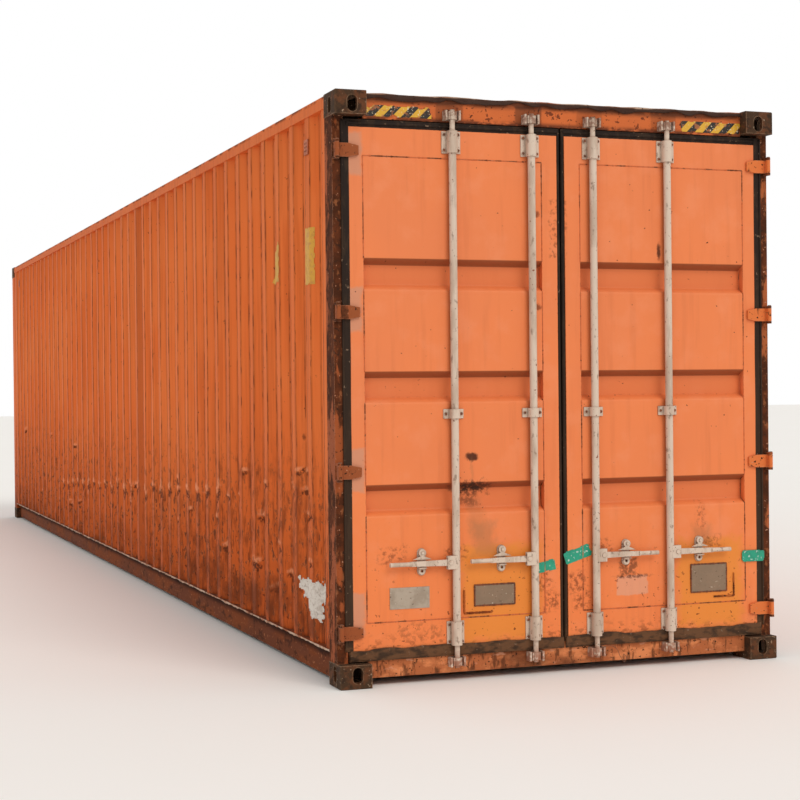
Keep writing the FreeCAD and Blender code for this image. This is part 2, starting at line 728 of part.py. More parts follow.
def cam(x, low):
    """Make one double-lobed cam about a rod's axis."""
    axis = depth(ROD_DEPTH)
    body = rod_along_z(CAM_RADIUS, x, axis, low, low + CAM_HEIGHT)
    lobe_tip = rod_along_z(CAM_REACH, x, axis, low, low + CAM_HEIGHT)
    half = CAM_RADIUS / 2
    lobe_bar = block(x - CAM_REACH, x + CAM_REACH, axis - half, axis + half, low, low + CAM_HEIGHT)
    return fused([body, lobe_bar.common(lobe_tip)])


def lock_rod(x):
    """Make one lock rod of the right door, with its necks, cams and handle hub."""
    axis = depth(ROD_DEPTH)
    shoulder_low = LEAF_BOTTOM + GASKET_SILL_STRIP
    shoulder_high = LEAF_TOP
    neck_low = BOTTOM_CAM_Z - CAM_END_LENGTH
    neck_high = TOP_CAM_Z + CAM_HEIGHT + CAM_END_LENGTH
    bar = rod_along_z(ROD_RADIUS, x, axis, shoulder_low, shoulder_high)
    neck = rod_along_z(NECK_RADIUS, x, axis, neck_low, neck_high)
    hub_front = depth(HANDLE_DEPTH) - HANDLE_THICKNESS / 2 - HUB_SLOT_GAP - HUB_PLATE
    hub_back = depth(HANDLE_DEPTH) + HANDLE_THICKNESS / 2 + HUB_SLOT_GAP + HUB_PLATE
    low = HANDLE_Z - HUB_HEIGHT / 2
    high = HANDLE_Z + HUB_HEIGHT / 2
    hub = block(x, x + HUB_REACH, hub_front, hub_back, low, high)
    slot = block(
        x + HANDLE_START - HUB_SLOT_GAP, x + HUB_REACH, hub_front + HUB_PLATE, hub_back - HUB_PLATE, low, high,
    )
    hub = hub.cut(slot)
    bolt = rod_along_y(HUB_BOLT_RADIUS, x + HUB_BOLT_X, hub_front, hub_back, HANDLE_Z)
    head = rod_along_y(HUB_BOLT_HEAD_RADIUS, x + HUB_BOLT_X, hub_front - HUB_BOLT_HEAD, hub_front, HANDLE_Z)
    return fused([bar, neck, cam(x, BOTTOM_CAM_Z), cam(x, TOP_CAM_Z), hub, bolt, head])


def handle(x):
    """Make the handle of one rod of the right door: a flat arm that ends in a round grip."""
    front = depth(HANDLE_DEPTH) - HANDLE_THICKNESS / 2
    start = x + HANDLE_START
    grip = x + HANDLE_GRIP_START
    arm = prism(
        [
            Vector(start, front, HANDLE_Z - HANDLE_HUB_HALF), Vector(start, front, HANDLE_Z + HANDLE_HUB_HALF),
            Vector(grip, front, HANDLE_Z + HANDLE_GRIP_HALF), Vector(grip, front, HANDLE_Z - HANDLE_GRIP_HALF),
        ],
        Vector(0, HANDLE_THICKNESS, 0),
    )
    bar = Part.makeCylinder(
        GRIP_RADIUS, HANDLE_REACH - HANDLE_GRIP_START + GRIP_RADIUS,
        Vector(grip - GRIP_RADIUS, depth(HANDLE_DEPTH), HANDLE_Z), Vector(1, 0, 0),
    )
    hole = rod_along_y(
        HUB_BOLT_RADIUS + HUB_BOLT_CLEARANCE, x + HUB_BOLT_X, front, front + HANDLE_THICKNESS, HANDLE_Z,
    )
    return fused([arm, bar]).cut(hole)


def arm_half_at(offset):
    """Return half the handle arm's height at a distance from its rod."""
    share = (offset - HANDLE_START) / (HANDLE_GRIP_START - HANDLE_START)
    return HANDLE_HUB_HALF + share * (HANDLE_GRIP_HALF - HANDLE_HUB_HALF)


def handle_catch(rod_x):
    """Make one handle catch: a back plate with a latch pin above the handle, and a ledge and an ear below it."""
    x = rod_x + CATCH_OFFSET
    face = depth(LEAF_FACE)
    front = face - CATCH_PLATE
    pin_z = HANDLE_Z + CATCH_PIN_ABOVE
    ear_z = HANDLE_Z - CATCH_EAR_BELOW
    radius = CATCH_PLATE_RADIUS
    top = rod_along_y(radius, x, front, face, pin_z)
    bottom = rod_along_y(radius, x, front, face, ear_z)
    middle = block(x - radius, x + radius, front, face, ear_z, pin_z)
    pin = rod_along_y(CATCH_PIN_RADIUS, x, depth(CATCH_PIN_FRONT), front, pin_z)
    ear = rod_along_y(CATCH_EAR_RADIUS, x, front - CATCH_EAR_THICKNESS, front, ear_z)
    ledge_top = HANDLE_Z - arm_half_at(CATCH_OFFSET) - LEDGE_GAP
    ledge = block(
        x - LEDGE_HALF_WIDTH, x + LEDGE_HALF_WIDTH, depth(CATCH_PIN_FRONT), front,
        ledge_top - LEDGE_THICKNESS, ledge_top,
    )
    hole = rod_along_y(CATCH_HOLE_RADIUS, x, front - CATCH_EAR_THICKNESS, face, ear_z)
    return fused([top, bottom, middle, pin, ear, ledge]).cut(hole)


def latch(rod_x):
    """Make one swivelling latch: a boss on the catch's pin, a neck and a wide tongue above the handle."""
    x = rod_x + CATCH_OFFSET
    front = depth(LATCH_FRONT)
    pin_z = HANDLE_Z + CATCH_PIN_ABOVE
    low = HANDLE_Z + arm_half_at(CATCH_OFFSET) + LATCH_HANDLE_GAP
    high = low + LATCH_TONGUE_HEIGHT
    boss = rod_along_y(LATCH_BOSS_RADIUS, x, front, front + LATCH_THICKNESS, pin_z)
    neck = block(x - LATCH_NECK_HALF, x + LATCH_NECK_HALF, front, front + LATCH_THICKNESS, low, pin_z)
    tongue = prism(
        [
            Vector(x - LATCH_TONGUE_HALF, front, low), Vector(x + LATCH_TONGUE_HALF, front, low),
            Vector(x + LATCH_NECK_HALF, front, high), Vector(x - LATCH_NECK_HALF, front, high),
        ],
        Vector(0, LATCH_THICKNESS, 0),
    )
    hole = rod_along_y(
        CATCH_PIN_RADIUS + LATCH_HOLE_CLEARANCE, x, front, front + LATCH_THICKNESS, pin_z,
    )
    return fused([boss, neck, tongue]).cut(hole)


def cam_keeper(x, low):
    """Make one keeper: two cheeks beside a cam, joined by a thin plate on the beam's face."""
    inner = CAM_REACH + KEEPER_GAP
    outer = inner + KEEPER_CHEEK
    face = depth(POST_FRONT)
    z0 = low - KEEPER_MARGIN
    z1 = low + CAM_HEIGHT + KEEPER_MARGIN
    plate = block(x - outer, x + outer, face - KEEPER_BACK_PLATE, face, z0, z1)
    near = block(x - outer, x - inner, depth(KEEPER_FRONT), face, z0, z1)
    far = block(x + inner, x + outer, depth(KEEPER_FRONT), face, z0, z1)
    return fused([plate, near, far])


def cam_keepers():
    """Make the keepers of the right half, on the sill and on the header."""
    keepers = []
    for x in ROD_XS:
        keepers.append(cam_keeper(x, BOTTOM_CAM_Z))
        keepers.append(cam_keeper(x, TOP_CAM_Z))
    return keepers


def blank_plates(places):
    """Make blank plates that lie on the right door's sheet."""
    face = depth(LEAF_FACE)
    plates = []
    for x, z, width, height in places:
        plates.append(block(x - width / 2, x + width / 2, face - PLATE_GAUGE, face, z - height / 2, z + height / 2))
    return plates


def save_pair(name, shapes):
    """Write right-hand pieces and their mirrored left-hand copies as two nodes."""
    save(f"{name}_right", *shapes)
    save(f"{name}_left", *[mirrored(shape) for shape in shapes])


def save_container():
    """Write every fixed piece."""
    save("door_castings", *four_castings(at_front=False))
    save("front_castings", *four_castings(at_front=True))
    save_pair("door_post", [door_post()])
    save_pair("front_post", [front_post()])
    save_pair("bottom_rail", [bottom_rail()])
    save_pair("top_rail", [top_rail()])
    save_pair("side_wall", [side_wall()])
    save("front_wall", front_wall())
    save("roof", roof())
    save("door_header", door_header())
    save("door_sill", door_sill())
    save("front_header", front_header())
    save("front_sill", front_sill())
    save("roof_end_plates", roof_end_plate(at_front=False), roof_end_plate(at_front=True))
    save("floor", floor())
    save("cross_members", *cross_members())
    save("ventilators", *ventilators())
    lugs = hinge_lugs()
    save("hinge_lugs", *lugs, *[mirrored(lug) for lug in lugs])
    pins = hinge_pins()
    save("hinge_pins", *pins, *[mirrored(pin) for pin in pins])
    keepers = cam_keepers()
    save("cam_keepers", *keepers, *[mirrored(keeper) for keeper in keepers])


def save_doors():
    """Write the pieces of both doors, with their rods, handles and latches."""
    save_pair("door_frame", [leaf_frame()])
    save_pair("door_panel", [leaf_panel()])
    save_pair("door_gasket", [leaf_gasket()])
    save_pair("hinge_blades", hinge_blades())
    save_pair("rod_brackets", rod_brackets())
    save_pair("handle_catches", [handle_catch(x) for x in ROD_XS])
    save("blank_plates_right", *blank_plates(RIGHT_PLATES))
    save("blank_plates_left", *[mirrored(plate) for plate in blank_plates(LEFT_PLATES)])
    for name, x in zip(ROD_NAMES, ROD_XS):
        save_pair(f"lock_rod_{name}", [lock_rod(x)])
        save_pair(f"handle_{name}", [handle(x)])
        save_pair(f"latch_{name}", [latch(x)])


os.makedirs("parts", exist_ok=True)
save_container()
save_doors()
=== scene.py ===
"""Forty-foot high-cube shipping container: painted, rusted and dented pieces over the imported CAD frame."""

from __future__ import annotations

import logging
import math
from collections.abc import Sequence
from dataclasses import dataclass
from enum import Enum

import bpy
import numpy as np
from mathutils import Matrix, Vector

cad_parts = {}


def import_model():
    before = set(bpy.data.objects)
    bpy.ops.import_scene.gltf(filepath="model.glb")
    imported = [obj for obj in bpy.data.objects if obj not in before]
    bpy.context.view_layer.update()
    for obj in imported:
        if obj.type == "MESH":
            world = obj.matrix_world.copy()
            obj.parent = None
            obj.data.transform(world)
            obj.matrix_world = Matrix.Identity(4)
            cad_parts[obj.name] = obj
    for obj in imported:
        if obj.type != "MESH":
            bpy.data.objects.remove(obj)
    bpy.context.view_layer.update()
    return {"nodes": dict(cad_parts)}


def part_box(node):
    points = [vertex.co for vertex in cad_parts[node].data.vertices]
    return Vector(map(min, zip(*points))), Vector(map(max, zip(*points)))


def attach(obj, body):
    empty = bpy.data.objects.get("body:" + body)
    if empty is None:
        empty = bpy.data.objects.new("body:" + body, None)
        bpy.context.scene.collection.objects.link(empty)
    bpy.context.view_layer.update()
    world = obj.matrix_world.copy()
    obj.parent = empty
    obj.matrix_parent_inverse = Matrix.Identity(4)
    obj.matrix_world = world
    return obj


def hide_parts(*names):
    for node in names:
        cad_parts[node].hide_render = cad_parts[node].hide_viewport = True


log = logging.getLogger("container")

MM = 0.001
DOOR_END = -6.096
NO_LIMIT = 50.0
ACROSS, LENGTHWAYS, UP = 0, 1, 2
Point = tuple[float, float, float]
Socket = bpy.types.NodeSocket
Material = bpy.types.Material
Piece = bpy.types.Object
Mask = Socket | float


class Side(Enum):
    """The two sides of the container, seen from its doors."""

    LEFT = "left"
    RIGHT = "right"

    @property
    def sign(self) -> float:
        """The direction of this side along X."""
        return -1.0 if self is Side.LEFT else 1.0

    def outermost(self, low: Vector, high: Vector) -> float:
        """Return how far out a box reaches on this side."""
        return low.x if self is Side.LEFT else high.x

    def seed(self, first: int) -> int:
        """Return the seed of this side's random draws: the first on the left, the next on the right."""
        return first if self is Side.LEFT else first + 1


def linear(code: str) -> tuple[float, float, float, float]:
    """Turn an sRGB hex colour to linear light.

    Args:
        code: the colour as #RRGGBB.

    Returns:
        Linear red, green, blue and an alpha of one.
    """
    values = [int(code[at : at + 2], 16) / 255 for at in (1, 3, 5)]
    red, green, blue = (v / 12.92 if v <= 0.04045 else ((v + 0.055) / 1.055) ** 2.4 for v in values)
    return (red, green, blue, 1.0)


def add_node(
    tree: bpy.types.NodeTree, kind: str, inputs: dict | None = None, out: int | str = 0, **settings: object
) -> Socket:
    """Add a node with its settings and links.

    Args:
        tree: the node tree it goes in.
        kind: the node's type name.
        inputs: for each input, the socket linked to it or its plain value.
        out: the output wanted.
        settings: the node's own settings.

    Returns:
        The output socket asked for.
    """
    node = tree.nodes.new(kind)
    for name, value in settings.items():
        setattr(node, name, value)
    for key, value in (inputs or {}).items():
        if isinstance(value, Socket):
            tree.links.new(value, node.inputs[key])
        else:
            node.inputs[key].default_value = value
    return node.outputs[out]


@dataclass(frozen=True)
class Coat:
    """One layer on a surface.

    Attributes:
        colour: sRGB hex colour.
        roughness: how matt it is, 0 to 1.
        proud_mm: how far it stands above what is under it; below zero it is eaten in.
    """

    colour: str
    roughness: float = 0.5
    proud_mm: float = 0.0


@dataclass(frozen=True)
class Spot:
    """A patch of a coat with a soft or ragged outline.

    Attributes:
        low: lowest corner in metres.
        high: highest corner in metres.
        coat: what it is covered with.
        strength: how much of it covers, 0 to 1.
        soft_mm: half the width of its edge.
        ragged_mm: how far its outline strays.
        broken: the noise level above which it covers; 0 covers it whole.
    """

    low: Point
    high: Point
    coat: Coat
    strength: float = 1.0
    soft_mm: float = 8.0
    ragged_mm: float = 25.0
    broken: float = 0.0


class Surface:
    """A procedural material built up in coats, from the base outwards, in the container's own coordinates."""

    def __init__(self, name: str, base: Coat, metallic: float = 0.0) -> None:
        """Start the material.

        Args:
            name: what the finish is.
            base: the coat under all the others.
            metallic: 1 for bare metal.
        """
        self.material = bpy.data.materials.new(name)
        self.material.use_nodes = True
        self.tree = self.material.node_tree
        self.tree.nodes.clear()
        self.place = self.add("ShaderNodeTexCoord", out="Object")
        self.colour: Socket | tuple = linear(base.colour)
        self.roughness: Socket | float = base.roughness
        self.height: Socket | float = 0.0
        self.metallic = metallic
        self.stirred: dict[tuple[float, float], Socket] = {}

    def add(self, kind: str, inputs: dict | None = None, out: int | str = 0, **settings: object) -> Socket:
        """Add a node to this material and return the output asked for."""
        return add_node(self.tree, kind, inputs, out, **settings)

    def noise(
        self, size_mm: float, stretch: Point = (1, 1, 1), detail: float = 3.0, shift: float = 0.0
    ) -> Socket:
        """Make noise of a real size.

        Args:
            size_mm: how far apart its patches are.
            stretch: how many times longer they are along each axis.
            detail: how many finer layers it has.
            shift: a seed that moves it.

        Returns:
            The noise, about 0.5 on average.
        """
        scale = tuple(1.0 / (size_mm * MM * axis) for axis in stretch)
        spot = self.vector("MULTIPLY_ADD", self.place, scale, (shift, shift * 1.7, shift * 2.3))
        return self.add(
            "ShaderNodeTexNoise", {"Vector": spot, "Scale": 1.0, "Detail": detail, "Roughness": 0.6}
        )

    def math(self, operation: str, *values: Mask) -> Socket:
        """Work out a sum, product or the like of plain values."""
        return self.add("ShaderNodeMath", dict(enumerate(values)), operation=operation)

    def vector(self, operation: str, *values: object, out: str = "Vector") -> Socket:
        """Work out a sum, product or the like of vectors."""
        return self.add("ShaderNodeVectorMath", dict(enumerate(values)), out, operation=operation)

    def ramp(self, value: Mask, start: float, end: float, steps: str = "SMOOTHSTEP") -> Socket:
        """Return 0 where a value is at the start, 1 where it is at the end, and a slope between."""
        ends = {0: value, 1: start, 2: end, 3: 0.0, 4: 1.0}
        return self.add("ShaderNodeMapRange", ends, interpolation_type=steps)

    def above(self, value: Mask, level: float, soft: float = 0.03) -> Socket:
        """Return 1 where a value is above a level and 0 where it is below, with a soft step between."""
        return self.ramp(value, level - soft, level + soft)

    def both(self, one: Mask, other: Mask) -> Socket:
        """Multiply two masks."""
        return self.math("MULTIPLY", one, other)

    def along(self, axis: int) -> Socket:
        """Return the place along one axis, in metres."""
        return self.add("ShaderNodeSeparateXYZ", {0: self.place}, axis)

    def below(self, axis: int, level: float, soft: float) -> Socket:
        """Return 1 below a level along an axis, fading out over a soft width."""
        return self.ramp(self.along(axis), level + soft, level - soft)

    def facing(self, direction: Point, level: float) -> Socket:
        """Mark the parts whose face turns towards a direction by more than a level."""
        normal = self.add("ShaderNodeTexCoord", out="Normal")
        return self.above(self.vector("DOT_PRODUCT", normal, direction, out="Value"), level, 0.15)

    def stirred_place(self, ragged_mm: float, size_mm: float) -> Socket:
        """Return the place, strayed at random in waves of a size, by up to about ragged_mm each way."""
        if not ragged_mm:
            return self.place
        key = (ragged_mm, size_mm)
        if key not in self.stirred:
            noise = {"Vector": self.place, "Scale": 1 / (size_mm * MM), "Detail": 4.0, "Roughness": 0.65}
            stir = self.add("ShaderNodeTexNoise", noise, 1)
            off = self.vector("SUBTRACT", stir, (0.5,) * 3)
            self.stirred[key] = self.vector("MULTIPLY_ADD", off, (ragged_mm * MM * 2,) * 3, self.place)
        return self.stirred[key]

    def within(self, low: Point, high: Point, soft_mm: float, ragged_mm: float) -> Socket:
        """Mark the inside of a box, or of the oval in it where it is small.

        Args:
            low: its lowest corner in metres.
            high: its highest corner in metres.
            soft_mm: half the width of its edge.
            ragged_mm: how far its outline strays.

        Returns:
            1 inside and 0 outside.
        """
        centre = tuple((a + b) / 2 for a, b in zip(low, high))
        half = tuple((b - a) / 2 for a, b in zip(low, high))
        small = min(half) < 0.034
        place = self.stirred_place(ragged_mm, 26 if small else 80)
        off = self.vector("SUBTRACT", place, centre)
        if small:
            apart = self.vector("LENGTH", self.vector("DIVIDE", off, half), out="Value")
            soft = min(soft_mm * MM / min(half), 0.6)
            return self.ramp(apart, 1 + soft, 1 - soft)
        off = self.vector("SUBTRACT", self.vector("ABSOLUTE", off), half)
        parts = self.add("ShaderNodeSeparateXYZ", {0: off}).node.outputs
        reach = self.math("MAXIMUM", self.math("MAXIMUM", parts[0], parts[1]), parts[2])
        return self.ramp(reach, soft_mm * MM, -soft_mm * MM)

    def marked(self, name: str) -> Socket:
        """Return a value that a piece's own mesh carries, 0 where it has none."""
        return self.add("ShaderNodeAttribute", out="Fac", attribute_name=name)

    def edges(self, radius_mm: float) -> Socket:
        """Mark the outer and inner edges of the shape, within a radius."""
        round_normal = self.add("ShaderNodeBevel", {0: radius_mm * MM}, samples=4)
        true_normal = self.add("ShaderNodeNewGeometry", out="Normal")
        same = self.vector("DOT_PRODUCT", round_normal, true_normal, out="Value")
        return self.above(self.math("SUBTRACT", 1.0, same), 0.07, 0.06)

    def crevices(self, reach_mm: float) -> Socket:
        """Mark the places that are closed in within a reach, by ambient occlusion; a coat laid there is
        painted shade, with the dirt and rust that gather there.
        """
        open_part = self.add("ShaderNodeAmbientOcclusion", {"Distance": reach_mm * MM}, "AO", samples=4)
        return self.ramp(open_part, 0.85, 0.25, "LINEAR")

    def cover(self, mask: Mask, coat: Coat, strength: float = 1.0) -> None:
        """Lay a coat where a mask is 1."""
        if strength != 1.0:
            mask = self.both(mask, strength)
        links = {0: mask, 6: self.colour, 7: linear(coat.colour)}
        self.colour = self.add("ShaderNodeMix", links, 2, data_type="RGBA")
        self.roughness = self.add("ShaderNodeMix", {0: mask, 2: self.roughness, 3: coat.roughness})
        if coat.proud_mm:
            self.lift(mask, coat.proud_mm)

    def lift(self, mask: Mask, height_mm: float) -> None:
        """Raise the surface where a mask is 1."""
        self.height = self.math("MULTIPLY_ADD", mask, height_mm * MM, self.height)

    def lay(
        self, spots: Sequence[Spot], size_mm: float = 20, stretch: Point = (1, 1, 1), only: Mask = 1.0
    ) -> None:
        """Lay patches one over another, in order.

        Args:
            spots: the patches.
            size_mm: how far apart the holes in a broken patch are.
            stretch: how many times longer those holes are along each axis.
            only: where the patches may lie.
        """
        for number, spot in enumerate(spots):
            mask = self.within(spot.low, spot.high, spot.soft_mm, spot.ragged_mm)
            if spot.broken:
                holes = self.noise(size_mm, stretch, 5, number)
                mask = self.both(mask, self.above(holes, spot.broken, 0.11))
            self.cover(self.both(mask, only), spot.coat, spot.strength)

    def mottle(
        self,
        coat: Coat,
        strength: float,
        level: float,
        soft: float,
        size_mm: float,
        stretch: Point = (1, 1, 1),
        detail: float = 3.0,
        shift: float = 0.0,
        where: Mask | None = None,
    ) -> None:
        """Lay a coat in random patches.

        Args:
            coat: what is laid.
            strength: how much of it covers, 0 to 1.
            level: the noise level above which it lies.
            soft: how softly it starts there.
            size_mm: how far apart the patches are.
            stretch: how many times longer they are along each axis.
            detail: how many finer layers their outline has.
            shift: a seed that moves them.
            where: a mask that keeps them to one part.
        """
        mask = self.above(self.noise(size_mm, stretch, detail, shift), level, soft)
        self.cover(mask if where is None else self.both(where, mask), coat, strength)

    def freckle(
        self, size_mm: float, level: float, coat: Coat, where: Mask = 1.0, shift: float = 0.0
    ) -> None:
        """Scatter small spots of a coat.

        Args:
            size_mm: how far apart the spots are.
            level: the noise level above which a spot shows.
            coat: what the spots are.
            where: a mask that keeps them to one part.
            shift: a seed that moves them.
        """
        mask = self.above(self.noise(size_mm, detail=2.5, shift=shift), level, 0.025)
        self.cover(self.both(mask, where), coat)

    def done(self, **sockets: object) -> Material:
        """Close the material with its shader.

        Args:
            sockets: values set on the shader's own sockets, with _ for each space in their names.

        Returns:
            The material.
        """
        inputs = {"Base Color": self.colour, "Roughness": self.roughness, "Metallic": self.metallic}
        if isinstance(self.height, Socket):
            inputs["Normal"] = self.add("ShaderNodeBump", {"Height": self.height, "Distance": 1.0})
        inputs.update({name.replace("_", " "): value for name, value in sockets.items()})
        shader = self.add("ShaderNodeBsdfPrincipled", inputs)
        output = self.tree.nodes.new("ShaderNodeOutputMaterial")
        self.tree.links.new(shader, output.inputs[0])
        return self.material


DARK_RUST = Coat("#4A2415", 0.85, -0.2)
RED_RUST = Coat("#7A3A1E", 0.85, -0.1)
PALE_RUST = Coat("#A0603A", 0.85)
# Near-black brown: soot and dirt in most places, painted shade under the header's guard lip and in the vents'
# louvres.
SOOT_AND_SHADE = Coat("#3A2318", 0.9)


def on_doors(x0: float, x1: float, z0: float, z1: float, coat: Coat, *edge: float) -> Spot:
    """Place a patch on the door end.

    Args:
        x0: its left side, in metres.
        x1: its right side.
        z0: its foot.
        z1: its top.
        coat: what it is covered with.
        edge: its strength, soft_mm, ragged_mm and broken, as far as they are given.

    Returns:
        The patch.
    """
    return Spot((x0, -NO_LIMIT, z0), (x1, NO_LIMIT, z1), coat, *edge)


def on_left_side(d0: float, d1: float, z0: float, z1: float, coat: Coat, *edge: float) -> Spot:
    """Place a patch on the left side, d0 to d1 metres behind the doors, and otherwise like on_doors."""
    return Spot((-NO_LIMIT, DOOR_END + d0, z0), (0.0, DOOR_END + d1, z1), coat, *edge)


@dataclass(frozen=True)
class SideEnamel:
    """Chlorinated rubber paint on weathering steel: satin, sun-faded, streaked by rain, chipped to rust.

    Attributes:
        base: the paint as it is over most of the wall.
        faded: where sun has bleached it.
        washed: the darker runs that rain leaves.
        low: the darker paint towards the bottom.
    """

    base: Coat = Coat("#E57030", 0.6)
    faded: Coat = Coat("#EC8142", 0.64)
    washed: Coat = Coat("#C25A22", 0.6)
    low: Coat = Coat("#BF551A", 0.6)

    def spots(self) -> tuple[Spot, ...]:
        """Return the wall's own marks: knocks, stained patches and the smooth joint between two sheets."""
        stain = Coat("#70361A", 0.75)
        joint = Coat("#B4541F", 0.5)
        return (
            on_left_side(4.72, 4.93, 0.17, 2.83, joint, 0.55, 8, 4),
            on_left_side(1.55, 2.15, 0.19, 0.36, stain, 0.75, 40, 110, 0.42),
            on_left_side(1.1, 1.42, 0.2, 0.42, stain, 0.7, 40, 90, 0.45),
            on_left_side(0.66, 0.9, 0.5, 0.98, stain, 0.3, 45, 90, 0.5),
            on_left_side(2.4, 4.6, 0.4, 0.74, stain, 0.4, 60, 160, 0.54),
            on_left_side(0.2, 2.4, 0.55, 1.04, RED_RUST, 0.65, 60, 160, 0.57),
            on_left_side(0.25, 1.5, 0.2, 0.5, stain, 0.55, 60, 160, 0.56),
            on_left_side(2.2, 3.4, 0.22, 0.5, stain, 0.65, 50, 140, 0.5),
            on_left_side(0.26, 0.36, 0.27, 0.52, SOOT_AND_SHADE, 0.7, 18, 40),
            on_left_side(0.45, 0.8, 0.2, 0.3, stain, 0.6, 25, 60, 0.45),
            on_left_side(0.66, 0.7, 1.17, 1.24, DARK_RUST, 1, 4, 14),
            on_left_side(0.34, 0.365, 1.28, 1.33, RED_RUST, 1, 4, 10),
            on_left_side(0.9, 0.94, 1.05, 1.09, DARK_RUST, 1, 4, 12),
            on_left_side(0.54, 0.64, 0.6, 0.68, RED_RUST, 0.9, 5, 50, 0.5),
            on_left_side(0.52, 0.6, 0.5, 0.58, RED_RUST, 0.8, 5, 50, 0.5),
            on_left_side(1.08, 1.16, 0.58, 0.63, RED_RUST, 0.9, 4, 30),
            on_left_side(1.64, 1.74, 0.6, 0.67, RED_RUST, 0.9, 4, 40),
        )

    def make(self, name: str) -> Material:
        """Build the material under a name."""
        paint = Surface(name, self.base)
        paint.mottle(self.faded, 0.6, 0.52, 0.16, 850, (1, 1.6, 1), 3)
        paint.mottle(self.washed, 0.42, 0.56, 0.12, 45, (1.3, 1.0, 22.0), 3, 1.0)
        paint.mottle(self.faded, 0.2, 0.6, 0.07, 28, (1, 1, 30.0), 2, 4.0)
        paint.cover(paint.below(UP, 0.75, 0.7), self.low, 0.85)
        foot = paint.below(UP, 0.32, 0.16)
        grime = paint.above(paint.noise(120, (1, 1, 1.8), 4, 2.0), 0.5, 0.1)
        paint.cover(paint.both(foot, grime), Coat("#74371A", 0.75), 0.7)
        # Painted shade: a broken dark line down each fold, strongest where a rib turns away; the chips after
        # it are rust.
        fold = paint.marked("fold")
        along_fold = paint.above(paint.noise(70, (1, 1, 6.0), 4, 5.0), 0.4, 0.14)
        paint.cover(paint.both(fold, along_fold), Coat("#7E3B17", 0.7), 0.72)
        chipped = paint.above(paint.noise(22, (1, 1, 4.6), 4, 6.0), 0.56, 0.05)
        paint.cover(paint.both(paint.above(fold, 0.5, 0.25), chipped), DARK_RUST, 0.85)
        low_part = paint.below(UP, 0.85, 0.45)
        paint.freckle(26, 0.73, DARK_RUST, shift=7.0)
        chips = paint.above(paint.noise(26, (1, 1, 1.9), 4, 8.0), 0.605, 0.03)
        paint.cover(paint.both(chips, low_part), RED_RUST, 0.9)
        edge_of_chip = paint.above(paint.noise(26, (1, 1, 1.9), 4, 8.0), 0.58, 0.012)
        paint.cover(paint.both(paint.both(edge_of_chip, low_part), 0.25), Coat("#F09A66", 0.6))
        paint.cover(paint.both(chips, low_part), DARK_RUST, 0.65)
        runs = paint.above(paint.noise(22, (1, 1, 7.0), 4, 14.0), 0.6, 0.05)
        paint.cover(paint.both(runs, paint.below(UP, 0.95, 0.5)), Coat("#7A3718", 0.75), 0.7)
        paint.freckle(34, 0.65, Coat("#5B2C18", 0.8, -0.15), paint.below(UP, 0.42, 0.3), 9.0)
        # The knocks: a painted highlight on each lip, and a near-black hollow under it, painted shadow with
        # scraped rust.
        worn = paint.marked("hollow_wear_and_shadow")
        torn = paint.above(paint.noise(17, (1.2, 1.2, 1.0), 5, 11.0), 0.42, 0.14)
        lip_highlight = paint.above(paint.marked("ridge"), 0.4, 0.25)
        paint.cover(paint.both(lip_highlight, torn), Coat("#F3A273", 0.55, 0.2), 0.6)
        paint.cover(paint.above(paint.both(worn, torn), 0.36, 0.14), Coat("#5F2D17", 0.85, -0.2), 0.9)
        paint.lay(self.spots(), 46, (1, 1, 2.6), paint.facing((-1, 0, 0), 0.0))
        paint.cover(paint.above(paint.along(UP), 2.62, 0.3), self.washed, 0.35)
        crown = paint.both(
            paint.above(paint.along(UP), 2.876, 0.008), paint.above(paint.noise(60, (1, 2, 1), 4), 0.5, 0.06)
        )
        paint.cover(crown, Coat("#5C2F1A", 0.85), 0.8)
        paint.lift(paint.noise(5, detail=2), 0.12)
        paint.lift(paint.noise(320, (1, 1, 1), 2, 3.0), 5.0)
        return paint.done(Specular_IOR_Level=0.12)


